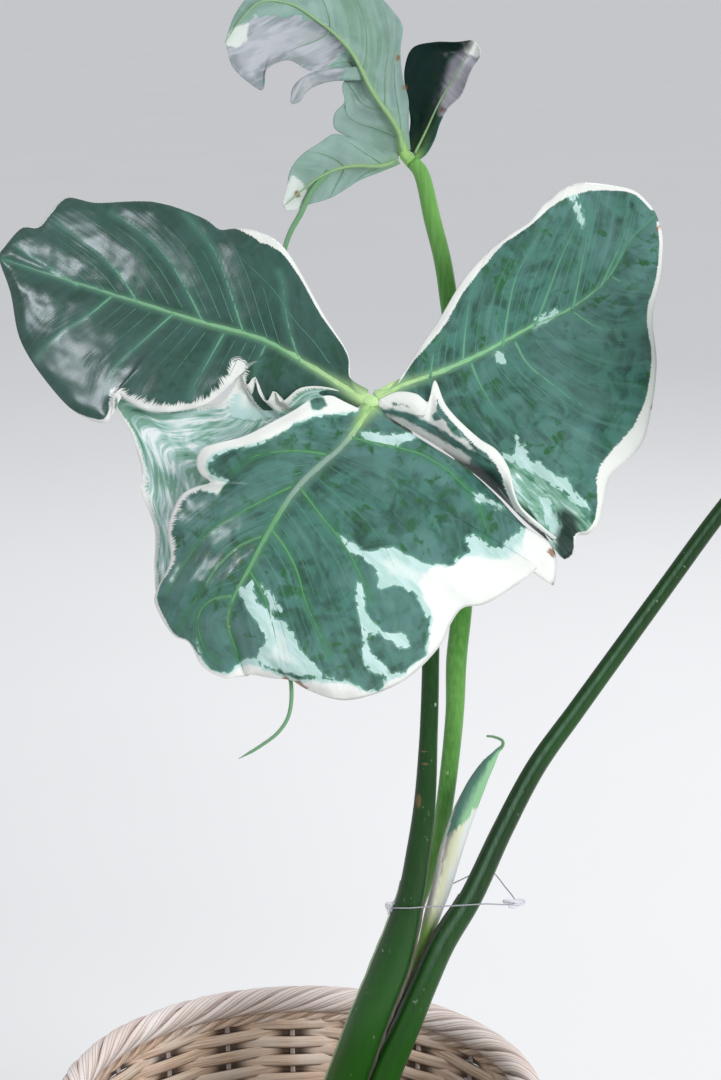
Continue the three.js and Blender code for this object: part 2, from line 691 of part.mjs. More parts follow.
function soilRing(share, height, lumps) {
  const shoulder = POT_HEIGHT - POT_LIP_HEIGHT;
  const climb = (height - POT_STANDS_AT - POT_FLOOR) / (shoulder - POT_FLOOR);
  const inside = POT_FOOT_RADIUS - POT_WALL + (POT_TOP_RADIUS - POT_FOOT_RADIUS) * climb;
  const radius = share * (inside * Math.cos(Math.PI / POT_SIDES) - GAP);
  const ring = [];
  for (let j = 0; j < SOIL_SPOKES; j++) {
    const angle = (2 * Math.PI * j) / SOIL_SPOKES;
    const lump = lumps * noise(j + 3, radius);
    ring.push(new THREE.Vector3(Math.cos(angle) * radius, Math.sin(angle) * radius, height + lump));
  }
  return ring;
}

function soil() {
  const rings = [soilRing(1, POT_STANDS_AT + POT_FLOOR + GAP, 0), soilRing(1, SOIL_LEVEL - SOIL_LUMPS, 0)];
  for (let i = SOIL_RINGS - 1; i >= 1; i--) {
    const share = i / SOIL_RINGS;
    rings.push(soilRing(share, SOIL_LEVEL + SOIL_HEAP * (1 - share), SOIL_LUMPS));
  }
  return ringSolid(rings);
}

// Putting the object together

const plant = new THREE.Group();

function addNode(name, solid, finish, height = 0) {
  const mesh = new THREE.Mesh(geometryOf(solid), new THREE.MeshStandardMaterial({ ...finish, metalness: 0 }));
  mesh.name = name;
  mesh.position.z = height;
  plant.add(mesh);
}

const frontRoom = roomOf(FRONT_STALK);
const sideRoom = roomOf(SIDE_STALK);
const backRoom = roomOf(BACK_STALK);
const newLeafRoom = roomOf(NEW_LEAF);
const allRooms = [frontRoom, sideRoom, backRoom, newLeafRoom];

addNode("basket_wall", basketWall(), FINISH.basket);
addNode("basket_rim", basketRim(), FINISH.basket, RIM_CENTRE_HEIGHT);
addNode("growing_pot", growingPot(), FINISH.pot, POT_STANDS_AT);
addNode("soil", without(soil(), [crown(GAP), ...allRooms]), FINISH.soil);
addNode("crown", without(crown(), allRooms), FINISH.crown);
addNode("stalk_front", stem(FRONT_STALK), FINISH.stalk);
addNode("stalk_side", without(stem(SIDE_STALK), [frontRoom]), FINISH.stalk);
addNode("stalk_back", without(stem(BACK_STALK), [frontRoom, sideRoom]), FINISH.paleStalk);
addNode("new_leaf", without(stem(NEW_LEAF), [frontRoom, sideRoom, backRoom]), FINISH.newLeaf);
addNode("leaf_front", without(leaf(FRONT_LEAF, onFrontLeaf), [frontRoom]), FINISH.blade);
addNode("leaf_side", without(leaf(mirrored(FRONT_LEAF), onSideLeaf), [sideRoom]), FINISH.blade);
addNode("leaf_back", without(leaf(BACK_LEAF, onBackLeaf), [backRoom]), FINISH.blade);
addNode("tie_thread", without(tie(), allRooms), FINISH.thread);

export default plant;
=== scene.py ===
import math

import bpy
import numpy as np
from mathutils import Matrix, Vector, noise
from mathutils.bvhtree import BVHTree


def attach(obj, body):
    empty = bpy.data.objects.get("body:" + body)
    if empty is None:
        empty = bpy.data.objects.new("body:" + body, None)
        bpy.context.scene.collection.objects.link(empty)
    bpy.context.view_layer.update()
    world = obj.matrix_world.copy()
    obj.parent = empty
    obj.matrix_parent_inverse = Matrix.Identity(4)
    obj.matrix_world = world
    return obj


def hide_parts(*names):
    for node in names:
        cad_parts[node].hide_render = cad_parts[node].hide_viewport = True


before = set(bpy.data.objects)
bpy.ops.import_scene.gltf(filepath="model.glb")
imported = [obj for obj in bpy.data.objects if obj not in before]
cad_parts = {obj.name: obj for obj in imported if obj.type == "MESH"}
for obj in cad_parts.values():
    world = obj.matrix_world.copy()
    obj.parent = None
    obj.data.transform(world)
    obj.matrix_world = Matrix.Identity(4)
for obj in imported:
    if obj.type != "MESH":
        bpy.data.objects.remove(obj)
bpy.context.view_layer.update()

# Viewer
EYE = np.array([32.0, -1153.0, 828.0])
SHEET_DISTANCE = 1200.0
SHEET_TILT = math.radians(15)
LENS_MM = 80
SENSOR_MM = 36

TAU = 2 * math.pi
LINE_SAMPLES = 801
LEAD_IN = 40
LEAD_OUT = 60
FAR = 1e9
random = np.random.default_rng(7)


def on_sheet(drawn):
    """The places in the part's frame, in millimetres, that drawn points stand for."""
    right, up, back = (drawn[..., k] for k in range(3))
    depth = SHEET_DISTANCE + back
    spread = depth / SHEET_DISTANCE
    return np.stack([
        EYE[0] + right * spread,
        EYE[1] + depth * math.cos(SHEET_TILT) + up * spread * math.sin(SHEET_TILT),
        EYE[2] - depth * math.sin(SHEET_TILT) + up * spread * math.cos(SHEET_TILT),
    ], -1)


def drawn_from(points):
    """The drawn [right, up] of places in the part's frame: the reverse of on_sheet."""
    x, y, z = np.moveaxis(points - EYE, -1, 0)
    depth = y * math.cos(SHEET_TILT) - z * math.sin(SHEET_TILT)
    height = y * math.sin(SHEET_TILT) + z * math.cos(SHEET_TILT)
    return np.stack([x, height], -1) * (SHEET_DISTANCE / depth)[..., None]


def unit(vectors):
    return vectors / np.maximum(np.linalg.norm(vectors, axis=-1, keepdims=True), 1e-9)


def step(value, low, high):
    """0 below low, 1 above high, and smooth between them."""
    t = np.clip((value - low) / (high - low), 0, 1)
    return t * t * (3 - 2 * t)


def bell(value, width):
    """1 where a value is 0, and smoothly down to 0 past that width on both sides."""
    return np.exp(-(value / width) ** 2)


def roughness_at(points, size, octaves):
    """Smooth noise from about -1 to 1 at places in millimetres, with lumps of that size."""
    flat = np.asarray(points, float).reshape(-1, 3) / size
    found = [noise.fractal(Vector(p), 1.0, 2.0, octaves) for p in flat]
    return np.array(found).reshape(np.shape(points)[:-1])


# Curves

def through(points, shares, closed=False):
    """Places on the smooth curve through some points, at shares 0 to 1 of its run."""
    points = np.asarray(points, float)
    if closed:
        ends = np.vstack([points[-1:], points, points[:2]])
    else:
        ends = np.vstack([2 * points[0] - points[1], points, 2 * points[-1] - points[-2]])
    spans = len(points) - (0 if closed else 1)
    run = np.clip(np.asarray(shares, float), 0, 1) * spans
    k = np.minimum(run.astype(int), spans - 1)
    w = (run - k)[:, None]
    a, b, c, d = (ends[k + n] for n in range(4))
    first, middle, last = (
        np.maximum(np.sqrt(np.linalg.norm(q - p, axis=1)), 1e-3)[:, None]
        for p, q in ((a, b), (b, c), (c, d))
    )
    out = ((b - a) / first - (c - a) / (first + middle) + (c - b) / middle) * middle
    into = ((c - b) / middle - (d - b) / (middle + last) + (d - c) / last) * middle
    return b + out * w + (-3 * b + 3 * c - 2 * out - into) * w ** 2 + (2 * b - 2 * c + out + into) * w ** 3


class Line:
    """A smooth curve that is read by share of its length."""

    def __init__(self, points, closed=False):
        self.dense = through(points, np.linspace(0, 1, LINE_SAMPLES), closed)
        steps = np.linalg.norm(np.diff(self.dense, axis=0), axis=1)
        self.run = np.concatenate([[0], np.cumsum(steps)])
        self.length = self.run[-1]

    def at(self, shares):
        want = np.asarray(shares, float) * self.length
        return np.stack([np.interp(want, self.run, column) for column in self.dense.T], -1)

    def evenly(self, count, first=0, last=1):
        """Places spread evenly from one share of the length to another."""
        return self.at(np.linspace(first, last, count))


def to_segment(points, start, end):
    """How far each point is from a straight segment, and the share of it at which it is nearest."""
    way = end - start
    offset = points - start
    t = np.clip(offset @ way / (way @ way), 0, 1)
    return np.linalg.norm(offset - t[:, None] * way, axis=1), t


def near_line(points, line):
    """How far each point is from a line, and how far along it the nearest place is."""
    best = np.full(len(points), FAR)
    along = np.zeros(len(points))
    run = 0.0
    for start, end in zip(line[:-1], line[1:]):
        length = math.dist(start, end)
        if length < 1e-9:
            continue
        distance, t = to_segment(points, start, end)
        closer = distance < best
        best[closer] = distance[closer]
        along[closer] = run + t[closer] * length
        run += length
    return best, along


def beside(points, line):
    """How far each point is from a line, which is first drawn out at both ends: negative on its right."""
    before = line[0] + LEAD_IN * unit(line[0] - line[1])
    after = line[-1] + LEAD_OUT * unit(line[-1] - line[-2])
    line = np.vstack([before, line, after])
    best = np.full(len(points), FAR)
    side = np.ones(len(points))
    for start, end in zip(line[:-1], line[1:]):
        distance, _ = to_segment(points, start, end)
        way, offset = end - start, points - start
        closer = distance < best
        best[closer] = distance[closer]
        side[closer] = np.sign(way[0] * offset[closer, 1] - way[1] * offset[closer, 0])
    return best * side


def depth_inside(points, outline):
    """How far each drawn point is inside a closed outline: negative outside."""
    ring = np.vstack([outline, outline[:1]])
    distance, _ = near_line(points, ring)
    odd = np.zeros(len(points), bool)
    x, y = points.T
    for (x1, y1), (x2, y2) in zip(ring[:-1], ring[1:]):
        if y1 != y2:
            odd ^= ((y1 > y) != (y2 > y)) & (x < (x2 - x1) * (y - y1) / (y2 - y1) + x1)
    return np.where(odd, distance, -distance)


def deepest(points, outlines):
    """How far each drawn point is inside the nearest of several outlines: negative outside them all."""
    return np.max([depth_inside(points, np.array(o, float)) for o in outlines], axis=0)


# Shapes

class Shape:
    """Vertices, faces and named values per vertex, gathered before they become one piece."""

    def __init__(self):
        self.points = []
        self.faces = []
        self.fields = {}
        self.count = 0

    def add(self, points, faces, **fields):
        points = np.asarray(points, float).reshape(-1, 3)
        self.points.append(points)
        self.faces += [(np.asarray(f) + self.count).tolist() for f in faces]
        for name in {**self.fields, **fields}:
            value = np.broadcast_to(np.asarray(fields.get(name, 0.0), float).reshape(-1), (len(points),))
            self.fields.setdefault(name, [np.zeros(self.count)]).append(value)
        self.count += len(points)

    def make(self, name, material, replaces=()):
        mesh = bpy.data.meshes.new(name)
        faces = [face for group in self.faces for face in group]
        mesh.from_pydata((np.vstack(self.points) / 1000).tolist(), [], faces)
        for field, values in self.fields.items():
            mesh.attributes.new(field, "FLOAT", "POINT").data.foreach_set("value", np.concatenate(values))
        mesh.polygons.foreach_set("use_smooth", [True] * len(mesh.polygons))
        mesh.materials.append(material)
        piece = add_object(name, mesh)
        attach(piece, "root")
        if replaces:
            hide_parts(*replaces)
        return piece


def add_object(name, data):
    made = bpy.data.objects.new(name, data)
    bpy.context.scene.collection.objects.link(made)
    return made


def around(count, offset=0.0):
    """Angles spread evenly round a circle."""
    return TAU * (np.arange(count) + offset) / count


def stacked(x, y, z):
    """Points from coordinates of any shapes that fit together."""
    return np.stack(np.broadcast_arrays(x, y, z), -1)


def ring_faces(rings, sides, closed=False):
    """Faces of rings joined each to the next: closed round on themselves, or with a flat end at both ends."""
    i, j = np.meshgrid(np.arange(rings if closed else rings - 1), np.arange(sides), indexing="ij")
    here, following = i * sides, (i + 1) % rings * sides
    k = (j + 1) % sides
    walls = np.stack([here + j, here + k, following + k, following + j], -1).reshape(-1, 4)
    if closed:
        return [walls]
    last = (rings - 1) * sides
    return [walls, [list(range(sides))[::-1]], [list(range(last, last + sides))]]


def square_to(directions, along):
    """Directions turned so that they stand square to a path."""
    return unit(directions - along * np.sum(directions * along, axis=1, keepdims=True))


def directions_of(path, closed=False):
    if closed:
        return unit(np.roll(path, -1, 0) - np.roll(path, 1, 0))
    return unit(np.gradient(path, axis=0))


def sweep(shape, path, across, wide, high, closed=False, **fields):
    """A section carried along a path.

    across is the section's first direction at each place of the path. wide and high are its coordinates
    along across and along the direction square to it."""
    wide, high = np.atleast_2d(wide), np.atleast_2d(high)
    rings, sides = len(path), wide.shape[1]
    along = directions_of(path, closed)
    across = square_to(np.broadcast_to(across, path.shape), along)
    side = np.cross(along, across)
    points = path[:, None] + across[:, None] * wide[..., None] + side[:, None] * high[..., None]
    run = np.concatenate([[0], np.cumsum(np.linalg.norm(np.diff(path, axis=0), axis=1))])
    fields = {name: np.broadcast_to(value, (rings, sides)).ravel() for name, value in fields.items()}
    fields["run"] = np.repeat(run, sides)
    fields["turn"] = np.tile(np.arange(sides) / sides, rings)
    shape.add(points, ring_faces(rings, sides, closed), **fields)


def round_section(radii, sides):
    angle = around(sides)
    radii = np.asarray(radii, float).reshape(-1, 1)
    return radii * np.cos(angle), radii * np.sin(angle)


# Materials

class Value:
    """What a material works out from place to place. Sums of values are written as sums of numbers are."""

    def __init__(self, paint, socket):
        self.paint = paint
        self.socket = socket

    def __add__(self, other):
        return self.paint.math("ADD", self, other)

    def __sub__(self, other):
        return self.paint.math("SUBTRACT", self, other)

    def __mul__(self, other):
        return self.paint.math("MULTIPLY", self, other)

    def __truediv__(self, other):
        return self.paint.math("DIVIDE", self, other)


class Paint:
    """A procedural material being put together."""

    def __init__(self, name, **constants):
        self.material = bpy.data.materials.new(name)
        self.material.use_nodes = True
        self.tree = self.material.node_tree
        self.shader = self.tree.nodes["Principled BSDF"]
        for socket, value in constants.items():
            self.shader.inputs[socket.replace("_", " ")].default_value = value
        self.place = self.value("ShaderNodeTexCoord", "Object")

    def put(self, socket, value):
        if isinstance(value, Value):
            self.tree.links.new(value.socket, socket)
        else:
            socket.default_value = value

    def value(self, kind, output, inputs=None, **settings):
        """One output of a new node."""
        made = self.tree.nodes.new(kind)
        for name, setting in settings.items():
            setattr(made, name, setting)
        for key, given in (inputs or {}).items():
            self.put(made.inputs[key], given)
        return Value(self, made.outputs[output])

    def field(self, name):
        """A value that the piece's vertices carry."""
        return self.value("ShaderNodeAttribute", "Fac", attribute_name=name)

    def fields(self, names):
        return [self.field(name) for name in names.split()]

    def stretched(self, x, y, z):
        return self.value("ShaderNodeVectorMath", 0, {0: self.place, 1: (x, y, z)}, operation="MULTIPLY")

    def math(self, operation, *values):
        return self.value("ShaderNodeMath", 0, dict(enumerate(values)), operation=operation)

    def vector(self, x, y, z=0.0):
        return self.value("ShaderNodeCombineXYZ", 0, {0: x, 1: y, 2: z})

    def noise(self, scale, detail=3.0, vector=None, distortion=0.0):
        inputs = {"Vector": vector or self.place, "Scale": scale, "Detail": detail, "Distortion": distortion}
        return self.value("ShaderNodeTexNoise", "Fac", inputs)

    def chips(self, scale):
        """A tone of its own for each of many small cells."""
        return self.value("ShaderNodeTexVoronoi", "Color", {"Vector": self.place, "Scale": scale})

    def ramp(self, value, low, high, start=0.0, end=1.0):
        """From start to end, smoothly, as a value goes from low to high."""
        inputs = {"Value": value, "From Min": low, "From Max": high, "To Min": start, "To Max": end}
        return self.value("ShaderNodeMapRange", "Result", inputs, interpolation_type="SMOOTHSTEP")

    def mix(self, share, a, b):
        """Colour a, with a share of colour b over it."""
        a, b = ((*tone, 1.0) if isinstance(tone, tuple) else tone for tone in (a, b))
        return self.value("ShaderNodeMix", 2, {0: share, 6: a, 7: b}, data_type="RGBA")

    def over(self, a, b, value, low, high, most=1.0):
        """Colour a, with colour b over it where a value is high: none of b at low, and most at high."""
        return self.mix(self.ramp(value, low, high, 0.0, most), a, b)

    def finish(self, base, roughness, bump=None, depth=0.0005, strength=0.5):
        self.put(self.shader.inputs["Base Color"], base)
        self.put(self.shader.inputs["Roughness"], roughness)
        if bump is not None:
            inputs = {"Height": bump, "Distance": depth, "Strength": strength}
            self.put(self.shader.inputs["Normal"], self.value("ShaderNodeBump", "Normal", inputs))
        return self.material


def toned(colour, share):
    """A darker or lighter tone of a colour."""
    return tuple(share * v for v in colour)


# Leaf blades

BLADE = 0.6
BLADE_EDGE = 0.32
PILLOW_RISE = 1.3
PILLOW_REACH = 8.0
GROOVE_DEPTH = 0.45
GROOVE_REACH = 1.5
PUCKER = 0.55
FINE_PUCKER = 0.16
MARGIN_WAVE = 0.7
WAVE_LENGTH = 19
VEIN_HALO = 2.0
RIB_GLOW = 1.3
COMB_SPACING = 22.0
WASHED_ALL_OVER = 3.0
UNPAINTED = -50.0

# Rows and columns of each lobe and fold
EAR_GRID = (120, 34)
MAIN_GRID = (140, 46)
FOLD_GRID = (110, 20)
BACK_MAIN_GRID = (110, 26)
BACK_LEFT_GRID = (70, 16)
BACK_RIGHT_GRID = (70, 20)
BACK_STRAP_GRID = (50, 8)
SIDE_LEAF_QUALITY = 0.6

# Veins: half widths are at a vein's start and at its end
RIB_WIDTHS = ((3.3, 0.8), (3.3, 0.8), (2.8, 0.8))
SIDE_VEIN_WIDTH = (1.0, 0.2)
FINE_VEIN_WIDTH = (0.34, 0.14)
BACK_RIB_WIDTHS = ((1.8, 0.4), (1.3, 0.4), (0.8, 0.3))
BACK_SIDE_VEIN_WIDTH = (0.45, 0.15)
BACK_VEIN_STARTS = (0.08, 0.22, 0.38, 0.56)
BACK_EAR_VEIN_STARTS = (0.15, 0.45)
BACK_VEIN_REACH = 0.3
HUB_RADII = (4.8, 3.0, 3.7)
BACK_HUB_RADII = (2.6, 3.0, 3.0)
BACK_KNEE = [
    [25.5, 189.3, -1, 3.4], [24, 190.5, 0, 3.4], [22, 193, 0.5, 2.9], [20.5, 198, 0.8, 2.2],
    [19, 204, 1, 1.6], [15, 211, 2, 0.8],
]
FRONT_JOINT = [5, 69, 1]
BACK_JOINT = [22, 192, 1]
FRONT_LEAF_BACK = -30
BACK_LEAF_BACK = 76
SIDE_JOINT = [266, 87.5, -12.6]
SIDE_STRETCH = np.array([-0.82, 0.6, 0.92])
SIDE_TURN = math.radians(82)
SIDE_NOD = math.radians(-12)

# Kinds of vein, as the vein paint reads them
RIB, SIDE_VEIN, FINE_VEIN, TAIL = 0.0, 1.0, 2.0, 3.0

# For each kind: its heights above and below the blade at its start and end, its steps and its sides
VEIN_FORMS = {
    RIB: ((0.95, 0.42), (3.2, 0.9), 3.0, 14),
    SIDE_VEIN: ((0.52, 0.34), (1.0, 0.45), 2.2, 8),
    FINE_VEIN: ((0.44, 0.38), (0.5, 0.34), 1.0, 6),
}

# What the vertices of a blade carry for its paint
BLADE_FIELDS = (
    "edge", "arc", "band", "feather", "halo", "glow", "share", "tint", "comb", "white", "cream", "wash",
    "pallor", "dim", "shade", "burn",
)

# Colours: a rib's are those at its root, middle and tip
MARGIN_WHITE = (0.79, 0.81, 0.77)
FRONT_RIB = ((0.52, 0.76, 0.34), (0.22, 0.48, 0.24), (0.1, 0.28, 0.18))
BACK_RIB = ((0.32, 0.58, 0.16), (0.34, 0.6, 0.2), (0.28, 0.5, 0.26))

# Drawn points of each lobe and fold, as in the part's source
LEFT_EAR = {
    "rib": [
      [3, 70, 0], [-22, 85, 2], [-49, 100, 6], [-77, 108, 12], [-112, 119, 22], [-144, 129, 34],
      [-180.5, 141, 52],
    ],
    "clockwise": [
      [4, 75, 0], [-5, 81, 0], [-6, 92, 2], [-18, 112, 6], [-40, 148, 14], [-51, 154, 17], [-62, 156, 20],
      [-70, 155, 22], [-77, 160, 24], [-102, 169, 33], [-133, 169, 45], [-147, 171, 52], [-156, 163, 51],
      [-161, 157, 51], [-169, 156, 54], [-180, 144, 53],
    ],
    "counter": [
      [2, 66, 0], [-16, 70, 3], [-32, 66, 5], [-47, 64, 4], [-58, 76, 2], [-61, 87, 0], [-66, 77, -2],
      [-77, 68, -3], [-95, 64, 0], [-107, 65, 2], [-117, 70, 5], [-123, 74, 7], [-126, 59, 7], [-141, 63, 16],
      [-156, 78, 27], [-170, 100, 38], [-175, 124, 46], [-180, 138, 52],
    ],
    "pace": [1.15, 1, 1],
    "belly": [3, 4],
}
RIGHT_EAR = {
    "rib": [
      [8, 71, 0], [19, 77, 2], [34, 82, 5], [60, 93, 12], [86, 107, 22], [104, 115, 29], [123, 130, 38],
      [136, 151, 48], [148, 162, 54.5],
    ],
    "clockwise": [
      [8, 66, 0], [22, 64, 4], [38, 58, 7], [60, 37, 9], [80, 13, 11], [94, 3, 12], [98, -6, 14],
      [102, -10, 16], [107, -6, 17], [108, 2, 16], [114, 3, 14], [119, 8, 14], [123, 26, 15], [125, 32, 15],
      [140, 47, 21], [145, 63, 25], [148, 88, 31], [146, 112, 36], [150, 132, 43], [151, 151, 50],
      [149.5, 158, 53],
    ],
    "counter": [
      [7, 75, 0], [17, 77, 1], [26, 91, 4], [38, 108, 9], [52, 131, 16], [68, 148, 23], [84, 159, 30],
      [94, 170, 36], [107, 178, 42], [127, 177, 50], [138, 174, 54], [146, 166, 55.5],
    ],
    "pace": [1.5, 0.9, 1.2],
    "belly": [6, 3],
}
MAIN_LOBE = {
    "rib": [
      [5, 67, -1], [-3, 55, -6], [-10, 46, -12], [-31, 26, -26], [-45, 5, -34], [-55, -14, -38],
      [-64, -31, -36], [-66, -40, -31], [-63, -52, -26], [-57, -68, -23],
    ],
    "clockwise": [
      [1, 68, -1], [-4, 65, -5], [-14, 72, -11], [-25, 70, -16], [-33, 65, -19], [-46, 58, -22],
      [-58, 52, -24], [-73, 48, -22], [-80, 45, -20], [-82, 39, -18], [-80, 33, -15], [-75, 29, -14],
      [-84, 26, -14], [-90, 22, -14], [-96, 7, -14], [-95, -10, -14], [-103, -29, -14], [-101, -36, -14],
      [-93, -48, -15], [-86, -51, -17], [-79, -63, -20], [-68, -69, -22], [-59, -68, -23],
    ],
    "counter": [
      [9, 67, 0], [20, 53, 3], [42, 43, 5], [55, 34, 6], [68, 22, 8], [82, 7, 11], [95, -2, 14],
      [98, -11, 17], [96, -23, 19], [90, -14, 14], [83, -19, 6], [62, -32, -4], [51, -34, -7],
      [45, -42, -9], [41, -51, -11], [22, -70, -14], [-7, -80, -18], [-26, -75, -21], [-35, -70, -22],
      [-44, -69, -23], [-55, -67, -23],
    ],
    "pace": [1.7, 1.25, 0.75],
    "belly": [3, 12],
}
LEFT_FOLD = {
    "inner": [
      [3, 64, 3], [-15, 56, 6], [-45, 44, 6], [-66, 24, 4], [-78, 0, 2], [-84, -26, 0], [-88, -44, 2],
    ],
    "outer": [
      [2, 68, 1], [-15, 76, -1], [-30, 76, -4], [-40, 69, -5], [-43, 75, -5], [-47, 69, -4], [-51, 74, -3],
      [-53, 82, -2], [-57, 77, -1], [-60, 84, 1], [-64, 76, 1], [-70, 69, 2], [-85, 67, 6], [-105, 66, 9],
      [-120, 72, 11], [-124, 70, 12], [-115, 54, 12], [-109, 32, 12], [-110, 26, 10], [-103, 6, 9],
      [-103, -14, 8], [-102, -28, 6], [-96, -44, 4],
    ],
    "belly": -3,
}
RIGHT_FOLD = {
    "inner": [
      [8, 65, 2], [22, 57, 8], [40, 46, 12], [55, 35, 14], [70, 22, 15], [83, 9, 16], [95, -1, 17],
    ],
    "outer": [
      [9, 70, -1], [18, 74, -2], [28, 73, -3], [34, 69, -3], [37, 80, -2], [43, 67, -3], [59, 51, -3],
      [68, 45, -2], [74, 36, -1], [77, 24, 0], [80, 17, 3], [92, 6, 8], [98, 1, 11],
    ],
    "belly": 6,
}
BACK_MAIN = {
    "rib": [
      [21, 194, 1], [19, 204, 1], [6, 224, 4], [-4, 243, 7], [-13, 253, 8], [-22, 260, 8], [-35, 268, 4],
      [-50, 269, -4], [-60, 260, -12], [-67.5, 249, -18.5],
    ],
    "clockwise": [
      [18, 191, 1], [10, 195, 3], [-2, 200, 5], [-13, 206, 6], [-13, 213, 8], [-8, 219, 8], [-9, 227, 7],
      [-5, 236, 7], [-16, 234, 3], [-26, 235, -2], [-36, 240, -5], [-47, 235, -10], [-49, 225, -13],
      [-56, 229, -15], [-64, 237, -18], [-67, 247, -19],
    ],
    "counter": [
      [25, 195, 3], [24, 208, 6], [24, 220, 10], [21, 232, 13], [20, 245, 15], [21, 257, 17], [15, 266, 19],
      [8, 273, 20], [-4, 280, 19], [-22, 284, 14], [-40, 282, 6], [-54, 274, -3], [-63, 262, -12],
      [-67, 251, -18],
    ],
    "pace": [1.2, 1, 1],
    "belly": [-4, -3],
}
BACK_LEFT_EAR = {
    "rib": [
      [19, 190, 0], [10, 187, -3], [-3, 187, -7], [-13, 185, -10], [-21, 181, -13], [-29, 175, -17],
      [-38.5, 167, -22.6],
    ],
    "clockwise": [
      [20, 188, 1], [10, 184, 1], [0, 180, -1], [-8, 175, -4], [-15, 171, -8], [-25, 168, -14],
      [-33, 165, -19], [-37, 165, -22],
    ],
    "counter": [
      [19, 193, 1], [12, 196, 2], [-1, 200, 3], [-13, 203, 2], [-20, 199, -2], [-30, 192, -9],
      [-35, 185, -14], [-37, 175, -20], [-39, 169, -23],
    ],
    "pace": [1.1, 1, 1],
    "belly": [-2, -3],
}
BACK_RIGHT_EAR = {
    "rib": [[27, 193, 2], [33, 205, 10], [40, 220, 15], [48, 233, 17], [57.3, 249, 13.6]],
    "clockwise": [
      [23, 196, 4], [25, 210, 14], [23, 222, 20], [22, 235, 24], [26, 246, 26], [37, 249, 24], [48, 249, 19],
      [55.5, 250, 14.5],
    ],
    "counter": [
      [28, 189, 1], [33, 193, 1], [37, 200, 2], [40, 209, 3], [44, 216, 3], [50, 222, 3], [55, 234, 6],
      [60, 243, 10], [59, 247.5, 12.6],
    ],
    "pace": [1, 1, 1],
    "belly": [-3, -3],
}
BACK_STRAP = {
    "inner": [[2, 230, 6], [-17, 229, 4], [-26, 225, 0], [-31, 219, -3], [-34, 218, -5]],
    "outer": [[1, 237, 6], [-18, 235, 2], [-28, 232, -2], [-34, 226, -4], [-35, 219, -6]],
    "belly": 1,
}

# Drawn points of the stalks and the rolled leaf: [right, up, back, radius]
FRONT_STALK = [
    [-32, -352, 90, 10], [-21, -305, 80, 10.5], [-7, -270, 72, 10.3], [4, -240, 60, 10], [16, -210, 55, 9.7],
    [25, -179, 50, 7.2], [29, -156, 46, 6.5], [32, -133, 44, 5.8], [34, -99, 42, 4.8], [35, -65, 42, 4.5],
    [35, -30, 44, 4.5], [32, 10, 42, 4.3], [25, 45, 32, 4.0], [17, 61, 6, 3.8], [11.5, 65, -12, 3.6],
    [8.3, 66, -25, 3.4],
]
SIDE_STALK = [
    [-16, -352, 94, 9.5], [0, -304, 84, 9.2], [12, -268, 75, 8.6], [22, -245, 68, 7.8], [32, -222, 62, 7.0],
    [41, -202, 58, 6.8], [55, -179, 52, 6.2], [71, -145, 46, 5.6], [88, -113, 42, 5.2], [108, -85, 38, 4.8],
    [150, -27, 30, 4.4], [180, 14, 26, 4.2], [208, 48, 20, 3.9], [232, 72, 12, 3.7], [248, 84, 2, 3.6],
    [261, 87.3, -9, 3.4],
]
BACK_STALK = [
    [-24, -350, 108, 8.5], [-8, -304, 102, 8], [8, -262, 92, 7.2], [17, -210, 86, 6.2], [32, -170, 84, 5.0],
    [39, -150, 82, 4.3], [42, -133, 80, 4.7], [47, -88, 80, 5.0], [48, -60, 82, 5.6], [51, -30, 84, 5.5],
    [52, 20, 88, 5.0], [50, 70, 90, 4.8], [44, 121, 90, 4.8], [41, 140, 88, 4.6], [36, 160, 86, 4.5],
    [30, 184, 79, 4.0], [25.5, 189.3, 75, 3.5],
]
NEW_LEAF = [
    [-18, -344, 100, 3], [-6, -300, 94, 3], [7, -266, 84, 3], [20, -234, 76, 3], [30, -208, 68, 3],
    [36, -188, 66, 4.4], [41, -172, 64, 5.2], [46, -154, 62, 6], [52, -136, 60, 5.8], [58, -123, 60, 4.8],
    [64, -112, 60, 3.2], [68, -106, 60, 1.4], [71, -103, 60, 0.9], [71, -100.5, 60, 0.8],
    [67, -98.5, 60, 0.7], [63, -98, 60, 0.6],
]

# Drawn points of the tie
TIE_LOOP = [
    [15.9, -184, 50], [18.4, -184, 44], [24.4, -184, 41.5], [30.4, -183.6, 44], [44, -183, 43],
    [62, -182, 47], [77, -181.5, 52], [72, -173, 64], [64, -165, 74], [50, -170, 88], [36, -177, 95],
    [26, -181, 93], [20, -184, 82], [15.5, -184, 62],
]

# Drawn points of the tails: [right, up, back, radius]
FRONT_TAIL = [
    [-66, -42, -30, 1.6], [-60, -54, -14, 1.3], [-46, -62, -12, 1.1], [-36, -68, -17, 1.0],
    [-34.5, -76, -18, 1.0], [-36, -88, -17, 0.95], [-41, -96, -16, 0.9], [-50, -103, -14, 0.85],
    [-61, -109.5, -12, 0.7],
]
BACK_TAIL = [
    [-16, 184, -10, 1.7], [-24, 175, -15, 1.6], [-30, 163, -18, 1.5], [-35, 154, -20, 1.4],
    [-38, 145, -21, 1.3], [-39, 134, -20, 1.2], [-37, 122, -18, 1.1], [-33, 112, -16, 0.9],
]

